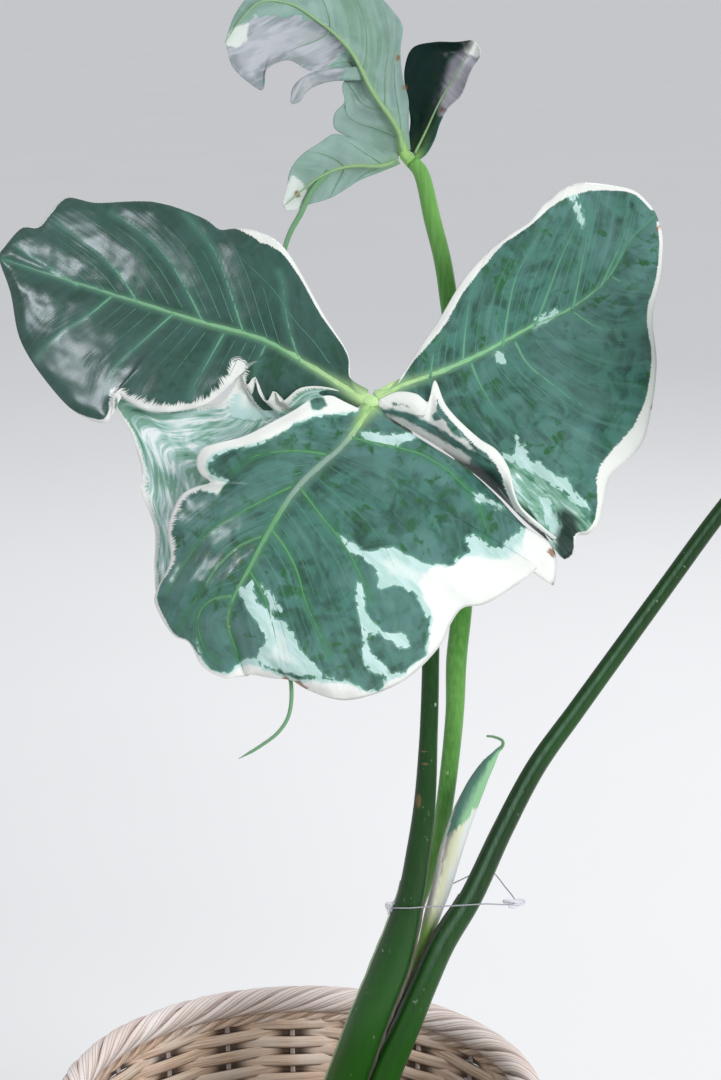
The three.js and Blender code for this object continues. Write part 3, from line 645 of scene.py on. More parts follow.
# Side veins of the lobes, [right, up]: first those on one side of the rib, then the others
EAR_LEFT_VEINS = [
    [(-30.25, 89.5), (-34.75, 102.5), (-37.75, 117.5), (-38.75, 128.5), (-40.75, 134)],
    [(-58.25, 103.5), (-61.25, 112.5), (-67.75, 132), (-73.75, 145.5), (-81.75, 156), (-88.25, 163)],
    [(-79.25, 110.5), (-86.25, 124), (-94.25, 137.5), (-104.75, 150), (-116.25, 158.5), (-124.25, 163.5)],
    [(-111.25, 119), (-120.75, 133), (-131.25, 143.5), (-142.25, 151.5), (-151.75, 158)],
    [(-141.25, 127), (-151.75, 134), (-163.25, 141), (-171.25, 146.5)],
    [(-47.25, 97.5), (-50.75, 89.5), (-52.75, 81)],
    [(-68.25, 103), (-76.75, 88), (-82.75, 78), (-85.25, 71)],
    [(-93.25, 113), (-106.75, 101), (-117.25, 91.5), (-124.25, 83.5), (-125.75, 76)],
    [(-124.25, 121.5), (-136.75, 111.5), (-151.75, 102), (-161.75, 90.5)],
]
EAR_RIGHT_VEINS = [
    [(34.75, 81), (36.75, 94), (41.75, 103.5)],
    [(50.75, 89), (52.25, 105), (54.75, 120), (58.75, 131)],
    [(70.75, 96.5), (74.25, 118), (78.25, 133), (85.75, 146.5), (92.25, 160)],
    [(86.75, 106.5), (94.25, 125.5), (100.25, 141.5), (107.75, 157.5), (110.75, 167.5)],
    [(105.75, 115), (109.25, 131.5), (112.25, 147.5), (114.75, 162.5)],
    [(119.75, 126), (125.75, 139), (130.75, 150), (133.75, 162.5)],
    [(54.75, 89), (59.75, 77.5), (65.75, 67.5), (73.75, 57.5)],
    [(76.75, 99.5), (83.25, 88), (96.75, 77), (109.25, 68), (121.75, 63), (134.25, 60.5)],
    [(105.75, 114), (117.75, 106.5), (129.25, 105), (142.25, 107.5)],
    [(124.75, 131.5), (133.75, 127.5), (143.75, 126)],
]
MAIN_VEINS = [
    [(-17.25, 42.5), (-29.25, 44.5), (-43.25, 44), (-53.75, 41.5), (-60.25, 37), (-64.75, 33.5)],
    [(-34.25, 26.5), (-39.75, 24), (-48.75, 19.5), (-59.25, 14), (-74.75, 4.5), (-81.25, -2), (-88.75, -13),
     (-96.25, -26)],
    [(-49.25, 1.5), (-60.25, -3), (-69.25, -11), (-77.75, -22.5), (-85.25, -35), (-90.25, -44)],
    [(-64.25, -28), (-74.25, -30), (-80.25, -36), (-80.75, -46), (-77.25, -55), (-70.75, -61)],
    [(-5.25, 51), (6.25, 48.5), (16.75, 46.5), (30.75, 42.5), (41.75, 36), (50.25, 28.5), (56.75, 21.5),
     (60.25, 14), (62.75, 6), (63.75, -2.5)],
    [(-32.25, 28.5), (-24.75, 18.5), (-18.25, 10), (-12.75, 3.5), (-6.25, -5.5), (0.25, -18.5), (5.75, -30)],
    [(-45.25, 6), (-37.75, -4), (-31.75, -16), (-27.75, -30), (-21.25, -45), (-15.25, -57.5)],
    [(-56.75, -13), (-49.25, -26), (-44.25, -41), (-41.25, -55)],
]

# Outlines of painted patches, and creases of the left ear: [right, up]
MAIN_WHITE = [
    [(-11.25, 3), (-3.75, -2), (1.75, -5.5), (9.25, -5.5), (17.25, -4), (23.25, -7), (29.75, -11),
     (36.25, -12), (46.25, -12), (50.25, -8), (55.25, -6), (53.25, -2), (53.75, 2), (58.25, 2.5),
     (61.25, -1.5), (65.75, -4), (69.75, -4.5), (73.25, -0.5), (77.75, 4), (81.75, 6.5), (97.75, 10),
     (109.75, -10), (97.75, -30), (54.75, -42.5), (47.25, -52.5), (35.75, -66), (25.75, -75), (21.25, -65.5),
     (33.25, -58.5), (33.75, -46.5), (35.25, -39), (30.75, -33.5), (26.75, -27), (21.25, -23.5), (14.75, -22),
     (9.25, -24), (10.25, -19.5), (6.75, -14), (0.75, -9), (-4.75, -5.5)],
    [(-1.75, -20.5), (0.25, -22.5), (2.25, -30.5), (3.25, -38), (8.75, -43.5), (15.25, -47.5), (19.75, -46),
     (24.25, -49.5), (24.75, -53.5), (18.75, -54), (15.25, -50), (8.75, -47), (4.25, -46.5), (2.75, -52),
     (6.75, -58.5), (11.25, -62), (14.25, -67), (9.75, -68.5), (5.75, -66), (2.25, -62), (0.75, -55.5),
     (1.75, -46.5), (-0.75, -40), (-2.25, -31.5)],
    [(-60.25, -23.5), (-57.25, -24), (-54.75, -20.5), (-53.75, -25), (-51.75, -30.5), (-45.25, -37),
     (-37.75, -42), (-34.25, -46.5), (-31.25, -54), (-25.75, -60.5), (-21.25, -63), (-18.25, -68.5),
     (-31.25, -67), (-41.75, -65), (-49.75, -62), (-52.25, -57.5), (-48.75, -53), (-46.75, -50),
     (-49.75, -44.5), (-52.75, -39), (-57.25, -32.5), (-59.75, -27.5)],
    [(-49.75, -22), (-45.25, -25), (-43.25, -30.5), (-39.25, -35), (-43.25, -36.5), (-44.75, -31.5),
     (-47.25, -27)],
    [(55.75, 23), (61.25, 22), (69.75, 17.5), (72.75, 15), (69.75, 14.5), (63.25, 19), (58.25, 19)],
    [(-0.75, 54.5), (11.25, 52.5), (21.25, 53), (29.75, 52), (22.25, 49.5), (15.75, 46.5), (8.25, 47.5),
     (1.75, 51)],
    [(0.75, 69), (-1.75, 67.5), (-7.25, 69), (-12.25, 73), (-20.25, 76), (-28.25, 75.5), (-35.25, 70),
     (-48.25, 60.5), (-60.25, 54.5), (-72.25, 53), (-82.25, 48.5), (-86.25, 40), (-85.25, 30), (-77.75, 24),
     (-71.25, 23), (-66.25, 30), (-70.25, 31.5), (-74.75, 33.5), (-76.25, 39), (-70.25, 44), (-59.25, 46),
     (-48.75, 49), (-37.75, 54), (-33.25, 57.5), (-21.25, 61.5), (-12.75, 62.5), (-6.25, 63), (-1.25, 64)],
    [(-82.25, -50), (-81.25, -58.5), (-74.25, -70), (-55.25, -71), (-35.25, -75), (-7.75, -83), (12.25, -79),
     (25.75, -72.5), (21.75, -66), (14.25, -68.5), (10.25, -74.5), (3.25, -75.5), (-5.25, -70.5),
     (-20.25, -68.5), (-32.25, -69.5), (-41.75, -65.5), (-49.75, -62.5), (-50.75, -58.5), (-57.25, -59.5),
     (-62.75, -63), (-65.75, -66), (-74.75, -65), (-78.75, -60)],
]
MAIN_CREAM = [
    [(35.75, -13), (45.75, -13.5), (52.75, -8), (59.75, -8), (65.75, -10), (73.75, -10), (80.75, -6),
     (81.25, 2.5), (84.75, 8.5), (100.75, 10), (111.75, -10), (97.75, -30), (54.75, -44), (47.25, -55),
     (34.75, -69), (25.75, -75), (22.25, -65.5), (33.75, -57), (34.75, -46.5), (36.25, -38), (31.75, -30),
     (28.75, -21)],
    [(0.75, 69), (-1.75, 67.5), (-7.25, 69), (-12.25, 73), (-20.25, 76), (-28.25, 75.5), (-35.25, 70),
     (-48.25, 60.5), (-60.25, 54.5), (-72.25, 53), (-82.25, 48.5), (-86.25, 40), (-85.25, 30), (-77.75, 24),
     (-71.25, 23), (-67.25, 29), (-74.25, 30.5), (-78.25, 36), (-76.25, 41), (-70.25, 45), (-59.25, 47),
     (-48.75, 50), (-37.75, 55), (-33.25, 58.5), (-21.25, 62.5), (-12.75, 63.5), (-6.25, 64), (-1.25, 64.5)],
    [(-82.25, -55), (-81.25, -61), (-74.25, -72), (-55.25, -73), (-35.25, -78), (-7.75, -85), (12.25, -81),
     (25.75, -74), (23.25, -67), (14.25, -70), (10.25, -75.5), (3.25, -76.5), (-5.25, -72), (-17.75, -71),
     (-32.25, -71), (-41.75, -67), (-49.75, -64), (-55.25, -62), (-62.25, -64.5), (-65.75, -67),
     (-74.75, -66.5)],
]
MAIN_HOLLOW = [
    [(-25.75, 69.5), (-22.25, 72), (-18.25, 71), (-16.75, 67), (-20.25, 64.5), (-24.75, 65)],
]
RIGHT_EAR_WHITE = [
    [(84.5, 105.5), (87.5, 111), (93, 112.5), (99, 118), (99.5, 113.5), (93, 108.5), (87.5, 105.5)],
    [(66.5, 94.5), (71.5, 93.5), (73, 88), (68.5, 88)],
    [(103, 180), (108, 178), (108.5, 170), (112, 157.5), (110.5, 157), (106.5, 166), (104, 172)],
    [(89, 22), (94.5, 20.5), (96, 16), (96, 12), (100, 8), (101, 3.5), (98.5, 1.5), (94.5, 4), (92.5, 10),
     (91, 16)],
    [(66.25, 44), (76.75, 42), (77.75, 51.5), (79.75, 45.5), (81.75, 48.5), (84.25, 39.5), (90.75, 38),
     (96.75, 33), (104.25, 31), (106.75, 23.5), (112.75, 18.5), (115.75, 10), (112.25, 14), (105.75, 19),
     (100.75, 25.5), (94.25, 29), (86.75, 33), (79.75, 37), (71.25, 40)],
]
RIGHT_EAR_PALE = [
    [(65.25, 44), (74.75, 39), (84.75, 35), (93.75, 29), (99.75, 25.5), (105.75, 19), (112.75, 13),
     (116.75, 5), (109.75, -2.5), (99.75, -9), (92.25, -2.5), (79.75, 10), (72.25, 30)],
]
CREASES = [[(-15.25, 88), (-23.25, 99), (-32.25, 109), (-44.75, 126.5), (-59.75, 141), (-64.75, 147)]]

# White bands along the margins: [right, up, width of the band, length of its feathers]
LEFT_EAR_UPPER_BAND = [
    [0, 74, 0, 0], [-5, 80, 0.2, 0.1], [-12, 98, 0.7, 0.3], [-18, 112, 1.4, 0.4], [-29, 128, 1.5, 0.5],
    [-36, 141, 2, 0.6], [-43, 148, 3.6, 1], [-49, 152, 4.6, 1.5], [-55, 155, 2.6, 1], [-62, 156, 0.5, 0.3],
    [-68, 156, 0, 0], [-88, 166, 0.2, 0.2], [-133, 170, 0.4, 0.3], [-147, 171, 0.2, 0.2], [-155, 164, 1, 0.4],
    [-161, 157, 0.9, 0.4], [-169, 156, 0.1, 0.1],
]
LEFT_EAR_LOWER_BAND = [
    [-47, 64, 0, 0], [-58, 76, 1, 2], [-60, 86, 1.8, 4], [-66, 77, 2.3, 6], [-77, 68, 2.3, 4],
    [-88, 66, 2.8, 3], [-100, 64.5, 3, 5], [-110, 67, 2.8, 6], [-117, 70, 2.4, 7], [-123, 74, 1.2, 2],
    [-125, 66, 1.2, 0.5], [-126, 60, 2.2, 0.5], [-132, 62, 1.4, 0.4], [-141, 63, 0.3, 0.2], [-149, 69, 0, 0],
]
RIGHT_EAR_UPPER_BAND = [
    [17, 76, 0, 0], [20, 82, 0.4, 0.2], [25, 91, 1.4, 0.5], [34.5, 99, 2.8, 0.8], [42, 110, 3.6, 0.9],
    [52, 127, 3.6, 0.9], [62, 139, 3.5, 0.9], [74, 149.5, 2, 0.7], [84, 160, 1.8, 0.6], [96, 170, 3.8, 0.8],
    [107, 177, 5, 1.4], [120, 177, 3.2, 0.8], [130, 176, 2, 0.6], [140, 170, 1.5, 0.5], [145, 163, 1.4, 0.5],
]
RIGHT_EAR_LOWER_BAND = [
    [60, 37, 0, 0], [98, -6, 0.2, 0.1], [107, -6, 0.5, 0.3], [114, 3, 2, 0.6], [119, 8, 2.6, 0.6],
    [122, 20, 3.2, 0.8], [123, 27, 5.2, 1.5], [130, 37, 8.2, 1.5], [140, 47, 9.4, 1.2], [144, 58, 6, 1],
    [146, 68, 4, 0.8], [148, 81, 3, 0.7], [148, 98, 2.3, 0.6], [146, 115, 3, 0.7], [148, 127, 2.3, 0.6],
    [150, 139, 1.9, 0.6], [150, 150, 1.8, 0.5], [148, 159, 1.6, 0.5],
]
MAIN_LEFT_BAND = [
    [-60, 38, 0, 0], [-76, 31, 0, 0], [-84, 26, 2, 3], [-90, 22, 2, 4], [-96, 7, 1.6, 4], [-95, -10, 1.2, 3],
    [-99, -20, 0.5, 0.4], [-103, -29, 1.2, 0.8], [-101, -36, 1.5, 1], [-93, -48, 0.8, 0.5],
    [-86, -51, 0.5, 0.3], [-79, -63, 1, 0.5], [-68, -69, 1.2, 0.5],
]
LEFT_FOLD_BAND = [
    [-15, 76, 0.6, 1], [-30, 76, 0.8, 2], [-40, 69, 2, 6], [-47, 69, 3, 8], [-53, 82, 3, 9], [-60, 84, 3, 9],
    [-70, 69, 1.5, 4], [-85, 67, 1, 3], [-124, 70, 0.8, 1], [-115, 54, 1, 1.5], [-109, 32, 1.6, 3],
    [-110, 26, 2, 3], [-103, 6, 1.2, 2], [-103, -14, 1, 2], [-102, -28, 1.4, 2], [-96, -44, 1, 1],
]
RIGHT_FOLD_BAND = [
    [9, 70, 2, 1], [18, 74, 5, 3], [28, 73, 7, 3.5], [34, 69, 6, 3], [37, 80, 2.2, 0.6], [43, 67, 2.6, 0.8],
    [59, 51, 3.4, 1.2], [68, 45, 4.6, 1.5], [74, 36, 4.6, 1.2], [77, 24, 3.4, 1], [80, 17, 2.6, 1],
    [98, 1, 1.2, 0.6],
]

# Outlines of painted patches of the folds, the right ear and the upper leaf: [right, up]. The shade outlines
# mark painted shade.
RIGHT_FOLD_SHADE = [
    [(42, 45), (52, 40), (60, 37.5), (67, 34.5), (72, 28), (78, 18), (84, 11), (93, 4), (100, 1), (92, -2),
     (83, 7), (70, 20), (55, 33), (40, 43)],
]
RIGHT_FOLD_WHITE = [
    [(13, 63), (20, 61.5), (30, 56.5), (40, 50.8), (50, 45), (56, 41), (54, 38), (48, 40.5), (40, 44.5),
     (30, 50), (20, 56.5)],
    [(8, 72), (18, 77), (28, 76), (37, 70), (39, 62), (45, 58), (53, 50), (58, 44), (54, 46), (45, 52.5),
     (36, 58), (27, 62.5), (18, 65.5), (9, 66)],
]
RIGHT_FOLD_HOLLOW = [
    [(15, 69.5), (18, 71), (20, 69.5), (22.5, 70.5), (26, 68), (25, 66), (21, 67.5), (17, 67.5)],
    [(30, 65), (32, 66.5), (33.5, 62.5), (31, 61.5)],
    [(35.5, 63), (38.5, 64), (40, 60.5), (37, 60)],
    [(43, 58.5), (47, 58.5), (52, 51.5), (49, 51), (45, 54.5)],
]
LEFT_FOLD_WHITE = [
    [(-67, 70), (-62, 78), (-57, 77), (-53, 84), (-49, 75), (-46, 72), (-43, 77), (-38, 70), (-41, 62),
     (-52, 60), (-64, 62)],
]
RIGHT_EAR_SHADE = [
    [(96, 14), (103, 16), (108, 11), (110, 2), (108, -6), (101, -12), (97, -6), (97.5, 3), (100.5, 8)],
]
BACK_RIGHT_SHADE = [
    [(17, 190), (17, 262), (60, 262), (55, 246), (45, 240), (42, 225), (39, 212), (32, 196), (24, 189)],
]
BACK_RIGHT_ROLL = [
    [(44, 238), (50, 246), (64, 246), (60, 232), (50, 214), (46, 210), (39, 212), (36, 218)],
]
BACK_TIPS = [
    [(-69, 247), (-64, 256), (-56, 258.5), (-57, 250), (-62, 246)],
    [(-40, 163), (-38.5, 175), (-34, 182.5), (-28.5, 178), (-27, 173.5), (-31, 163)],
    [(49, 250), (55, 254), (63, 248), (59, 241), (53, 243)],
]
BACK_WHITE = [
    [(-53, 262), (-30, 262), (-17, 258), (-7, 246), (-17.5, 234), (-26, 234.5), (-36, 239.5), (-47.5, 234.5),
     (-49, 223), (-58, 228), (-66, 236), (-67, 247)],
    [(-6, 236), (-12, 228), (-30, 219), (-38, 215), (-40, 222), (-30, 236)],
]

# Scorched spots: [right, up, radius]
BURNS = [
    [95.5, -6.5, 2.6], [-37.5, -70, 2.2], [-31, -72.5, 2.6], [-28, -74, 1.8], [145.5, 66, 1.6],
    [148.5, 156, 1.3], [19, 241, 1.5], [22, 226, 1.5], [41, 215, 1.3], [-31.6, 173, 1.8],
]


def front_leaf(drawn):
    return on_sheet(drawn + np.array([0, 0, FRONT_LEAF_BACK]))


def back_leaf(drawn):
    return on_sheet(drawn + np.array([0, 0, BACK_LEAF_BACK]))


def turned(first, second, angle):
    """Two coordinates, turned by an angle from the first to the second."""
    return (first * math.cos(angle) - second * math.sin(angle),
            first * math.sin(angle) + second * math.cos(angle))


def side_leaf(drawn):
    """The front leaf's mirrored twin, narrower and flatter, which faces right from its own joint."""
    right, up, back = (drawn[..., k] - FRONT_JOINT[k] for k in range(3))
    x, y, z = right * SIDE_STRETCH[0], back * SIDE_STRETCH[1], up * SIDE_STRETCH[2]
    y, z = turned(y, z, SIDE_NOD)
    x, y = turned(x, y, SIDE_TURN)
    return np.stack([x, y, z], -1) + on_sheet(np.array(SIDE_JOINT, float))


def comb(points, group, tip):
    """How far each point is towards the tip of its lobe, counted in side veins."""
    sides = []
    for vein in group:
        line = Line(vein).evenly(14)
        sides.append(beside(points, line) * np.sign(beside(tip[None], line)))
    sides = np.sort(np.array(sides), axis=0)[::-1]
    past = np.sum(sides > 0, axis=0)
    lots = np.arange(len(points))
    behind = np.where(past > 0, sides[np.maximum(past - 1, 0), lots], FAR)
    ahead = np.where(past < len(group), -sides[np.minimum(past, len(group) - 1), lots], FAR)
    counted = past - 1 + behind / np.maximum(behind + ahead, 1e-6)
    counted = np.where(past == len(group), past - 1 + behind / COMB_SPACING, counted)
    return np.where(past == 0, -ahead / COMB_SPACING, counted)


class Blade:
    """A lobe or fold as a grid of drawn points, with what is painted on it per point.

    A lobe has a rib and two margins, and its columns run from one margin over the rib to the other. A fold
    has one margin, and its columns run from its inner line to that margin.

    veins are the lines on each side of the rib, and bands the white bands of the margins. white, cream,
    hollow and wash are outlines of painted patches, and shade outlines of painted shade. lift is 1 where the
    blade swells towards the viewer between its veins, and -1 where it swells away. tint picks the main lobe's
    colours of rib and veins, pallor is how pale a wash is, dim how far painted shade darkens the whole green,
    and slant the way of the wash's streaks in degrees. under_shows swaps the looks of the two faces."""

    def __init__(self, form, rows, columns, veins=(), bands=(None, None), white=(), cream=(), hollow=(),
                 wash=(), shade=(), lift=1, tint=0.0, pallor=0.5, dim=0.0, slant=-45, under_shows=False):
        self.form = form
        self.ribbed = "rib" in form
        self.slant = math.radians(slant)
        self.under_shows = under_shows
        self.groups = [[np.array(v, float) for v in group] for group in veins]
        self.lines = [vein for group in self.groups for vein in group]
        margins, inner = self.lay_out(np.linspace(0, 1, rows + 1), np.linspace(0, 1, columns + 1))
        self.rows, self.columns = self.size = self.points.shape[:2]
        self.flat = self.points[..., :2].reshape(-1, 2)
        rib_run = np.linalg.norm(np.diff(inner, axis=0), axis=1).cumsum()
        self.rib_run = np.broadcast_to(np.concatenate([[0], rib_run])[:, None], self.size)
        self.row_run = np.linalg.norm(self.points - inner[:, None], axis=2)
        if self.ribbed:
            halves = (slice(0, columns + 1), slice(columns, None))
        else:
            halves = (slice(None),)
        self.measure_margins(halves, margins, bands)
        self.raise_between_veins(halves, lift)
        self.share = self.rib_run / self.rib_run.max()
        self.tint, self.pallor, self.dim = (np.full(self.size, value) for value in (tint, pallor, dim))
        self.white, self.cream, self.wash, self.shade = (self.painted(o) for o in (white, cream, wash, shade))
        if len(hollow):
            outside = -self.painted(hollow)
            self.white = np.minimum(self.white, outside)
            self.cream = np.minimum(self.cream, outside)
        burns = [radius - np.linalg.norm(self.flat - [x, y], axis=1) for x, y, radius in BURNS]
        self.burn = np.max(burns, axis=0).reshape(self.size)

    def lay_out(self, s, t):
        """Sets the grid: rows at shares s of the margins, columns at shares t between rib and margin."""
        form = self.form
        names = ("rib", "clockwise", "counter") if self.ribbed else ("inner", "outer")
        pace = form.get("pace", (1, 1, 1))
        belly = form["belly"] if self.ribbed else [form["belly"]]
        arch = np.sqrt(np.sin(math.pi * s))[:, None] * 4 * t * (1 - t)
        inner = Line(form[names[0]]).at(s ** pace[0])
        halves, margins = [], []
        for k, name in enumerate(names[1:]):
            margin = Line(form[name])
            side = margin.at(s ** pace[k + 1])
            half = inner[:, None] * (1 - t[:, None]) + side[:, None] * t[:, None]
            half[..., 2] -= arch * belly[k]
            halves.append(half)
            margins.append(margin)
        if self.ribbed:
            self.shares = np.concatenate([t[::-1], t[1:]])
            self.points = np.concatenate([halves[0][:, ::-1], halves[1][:, 1:]], 1)
        else:
            self.shares = t
            self.points = halves[0]
        return margins, inner

    def measure_margins(self, halves, margins, bands):
        """Sets how far each point is from its margin, and how wide and feathered the white band there is."""
        self.edge, self.arc, self.band, self.feather = (np.zeros(self.size) for _ in range(4))
        for part, margin, band in zip(halves, margins, bands):
            line = margin.evenly(240)[:, :2]
            half = self.points[:, part, :2]
            distance, arc = near_line(half.reshape(-1, 2), line)
            self.edge[:, part] = distance.reshape(half.shape[:2])
            self.arc[:, part] = arc.reshape(half.shape[:2])
            if band is not None:
                anchors = np.array(band, float)
                _, where = near_line(anchors[:, :2], line)
                order = np.argsort(where)
                for target, column in ((self.band, 2), (self.feather, 3)):
                    found = np.interp(arc, where[order], anchors[order, column])
                    target[:, part] = found.reshape(half.shape[:2])

    def raise_between_veins(self, halves, lift):
        """Sinks the blade along its veins, raises it between them, and sets how near they are."""
        ribs = [np.array(self.form["rib"], float)[:, :2]] if self.ribbed else []
        smooth_lines = [Line(v).evenly(24) for v in ribs + self.lines]
        if smooth_lines:
            away = np.min([near_line(self.flat, line)[0] for line in smooth_lines], axis=0).reshape(self.size)
            self.halo = bell(away, VEIN_HALO)
        else:
            away = self.edge + 2
            self.halo = np.zeros(self.size)
        quiet = step(self.edge, 0, 5) * step(self.rib_run, 2, 14)
        rise = PILLOW_RISE * (1 - bell(away, PILLOW_REACH)) - GROOVE_DEPTH * bell(away, GROOVE_REACH)
        pucker = PUCKER * roughness_at(self.points, 13.0, 3)
        pucker += FINE_PUCKER * roughness_at(self.points + 40, 4.5, 2)
        phase = TAU * self.arc / WAVE_LENGTH + 2.5 * np.sin(self.arc / 23)
        wave = MARGIN_WAVE * np.sin(phase) * bell(self.edge, 5) * step(self.arc, 15, 40)
        self.points[..., 2] -= lift * (rise * quiet + pucker * quiet + wave)
        self.glow = np.zeros(self.size)
        self.comb = self.row_run / COMB_SPACING
        if self.ribbed:
            run = self.rib_run / self.rib_run.max()
            from_rib = near_line(self.flat, smooth_lines[0])[0].reshape(self.size)
            near_joint = np.exp(-self.rib_run / 10)
            width = 0.9 + RIB_GLOW * (1 - run) + 2.6 * near_joint
            self.glow = (0.5 + 0.5 * near_joint) * bell(from_rib, width)
            for part, group in zip(halves, self.groups):
                half = self.points[:, part, :2]
                self.comb[:, part] = comb(half.reshape(-1, 2), group, ribs[0][-1]).reshape(half.shape[:2])

    def painted(self, outlines):
        """How deep each point is inside drawn outlines, in millimetres."""
        if not len(outlines):
            return np.full(self.size, UNPAINTED)
        return deepest(self.flat, outlines).reshape(self.size)

    def faces(self, flip):
        at = np.arange(self.rows * self.columns).reshape(self.rows, self.columns)
        low = self.rows * self.columns
        a, b, c, d = at[:-1, :-1], at[1:, :-1], at[1:, 1:], at[:-1, 1:]
        upper = np.stack([a, b, c, d], -1).reshape(-1, 4)
        under = np.stack([a, d, c, b], -1).reshape(-1, 4) + low
        edge = np.concatenate([at[:, 0][::-1], at[0, 1:], at[1:, -1], at[-1, -2:0:-1]])
        after = np.roll(edge, -1)
        rim = np.stack([edge, after, after + low, edge + low], -1)
        faces = [upper, under, rim]
        return [f[:, ::-1] for f in faces] if flip else faces

    def add_to(self, shape, place, flip=False):
        grid = place(self.points)
        normals = unit(np.cross(np.gradient(grid, axis=0), np.gradient(grid, axis=1))) * (-1 if flip else 1)
        half = (BLADE_EDGE + (BLADE - BLADE_EDGE) * step(self.edge, 0, 2.5))[..., None] / 2
        fields = {name: getattr(self, name) for name in BLADE_FIELDS}
        x, y, _ = np.moveaxis(self.points, -1, 0)
        along, across = turned(x, y, -self.slant)
        spread = np.broadcast_to(self.shares, x.shape) * self.row_run[:, -1].mean()
        lengths = {
            "coarse": (self.row_run, self.rib_run),
            "lie": (across, spread),
            "drift": (along, self.rib_run),
        }
        for name, (ribbed, folded) in lengths.items():
            fields[name] = ribbed if self.ribbed else folded
        fields = {name: np.tile(value.ravel(), 2) for name, value in fields.items()}
        under = np.repeat([0.0, 1.0], grid.shape[0] * grid.shape[1])
        fields["under"] = 1 - under if self.under_shows else under
        skins = [(grid + normals * half).reshape(-1, 3), (grid - normals * half).reshape(-1, 3)]
        shape.add(np.concatenate(skins), self.faces(flip), **fields)

    def tree(self):
        """The drawn grid as a surface that veins are laid on."""
        at = np.arange(self.rows * self.columns).reshape(self.rows, self.columns)
        quads = np.stack([at[:-1, :-1], at[1:, :-1], at[1:, 1:], at[:-1, 1:]], -1).reshape(-1, 4)
        return BVHTree.FromPolygons(self.points.reshape(-1, 3).tolist(), quads.tolist())


def laid_on(tree, line, spacing):
    """A line [right, up] laid on a blade, as drawn points."""
    curve = Line(line)
    found = []
    for right, up in curve.evenly(max(5, int(curve.length / spacing))):
        hit = tree.ray_cast(Vector((right, up, -900)), Vector((0, 0, 1)))[0]
        if hit is not None:
            found.append([right, up, hit[2]])
        elif len(found) > 3:
            break
        else:
            found = []
    found = np.array(found)
    if len(found) > 4:
        found[1:-1, 2] = (found[:-2, 2] + found[1:-1, 2] + found[2:, 2]) / 3
    return found


def add_vein(shape, drawn, place, toward, half_width, above, below, sides, kind, tint):
    """A vein along drawn points: half_width, above and below are (at its start, at its end)."""
    if len(drawn) < 4:
        return
    path = place(drawn)
    t = np.linspace(0, 1, len(path))[:, None]
    shrink = np.sqrt(np.clip((1 - t) / 0.12, 0.02, 1))
    wide, up, down = ((b + (a - b) * (1 - t) ** 1.4) * shrink for a, b in (half_width, above, below))
    angle = around(sides)
    high = np.where(np.sin(angle) > 0, up, down) * np.sin(angle)
    across = np.cross(toward(path), directions_of(path))
    sweep(shape, path, across, wide * np.cos(angle), high, share=t, kind=kind, tint=tint,
          below=(np.sin(angle) < -0.1) * 1.0)


def side_veins(form, starts, reach):
    """Side veins of a lobe, which leave the rib at some shares of its run and bend towards the tip."""
    groups = []
    t = np.linspace(0, 0.94, 9)
    for k, name in ((1, "clockwise"), (2, "counter")):
        group = []
        for start in starts:
            s = start + reach * (1 - start) * t ** 1.4
            rib = Line(form["rib"]).at(s ** form["pace"][0])
            margin = Line(form[name]).at(s ** form["pace"][k])
            group.append((rib + (margin - rib) * t[:, None])[:, :2])
        groups.append(group)
    return groups


def between(group, count):
    """Lines spread evenly between each two neighbouring side veins, of slightly uneven lengths."""
    made = []
    for first, second in zip(group[:-1], group[1:]):
        ends = [Line(v).evenly(12, 0.06, 0.95) for v in (first, second)]
        for k in range(1, count + 1):
            w = k / (count + 1) + 0.06 * math.sin(7 * k + first[0][0])
            line = ends[0] * (1 - w) + ends[1] * w
            made.append(line[: 12 - (k * 5 + int(abs(first[0][0]))) % 4])
    return made


def add_veins(shape, blade, place, toward, rib_width, side_width, fine_veins, creases):
    """The rib, the side veins, and some fine veins between each two of those."""
    tree = blade.tree()
    tint = blade.tint[0, 0]

    def add_all(lines, half_width, kind):
        above, below, spacing, sides = VEIN_FORMS[kind]
        for line in lines:
            drawn = laid_on(tree, line, spacing)
            add_vein(shape, drawn, place, toward, half_width, above, below, sides, kind, tint)

    rib = np.array(blade.form["rib"], float)[:, :2]
    fine = [line for group in blade.groups for line in between(group, fine_veins)] if fine_veins else []
    add_all([rib], rib_width, RIB)
    add_all(blade.lines, side_width, SIDE_VEIN)
    add_all([*fine, *creases], FINE_VEIN_WIDTH, FINE_VEIN)


def towards_viewer(path):
    return EYE - path


def from_viewer(path):
    return path - EYE


def towards_side(path):
    facing = SIDE_TURN - math.pi / 2
    return np.broadcast_to([math.cos(facing), math.sin(facing), 0.2], path.shape)


def add_hub(shape, place, joint, radii, **fields):
    """The small round swelling where a leaf's ribs and its stalk meet."""
    rings, sides = 12, 16
    polar = np.linspace(0.08, math.pi - 0.08, rings)[:, None]
    angle = around(sides)
    wide, high, deep = radii
    level = np.sin(polar)
    ball = stacked(wide * level * np.cos(angle), high * np.cos(polar), deep * level * np.sin(angle))
    shape.add(ball + place(np.array(joint, float)), ring_faces(rings, sides), **fields)


def add_tail(shape, points, place, **fields):
    """A round tail along drawn points that carry its radius as their fourth number."""
    points = np.array(points, float)
    shares = np.linspace(0, 1, 12 * len(points))
    path = place(through(points[:, :3], shares))
    radii = np.interp(shares, np.linspace(0, 1, len(points)), points[:, 3])
    radii[-8:] *= np.linspace(1, 0.15, 8)
    sweep(shape, path, [0.0, 1.0, 0.0], *round_section(radii, 8), **fields)


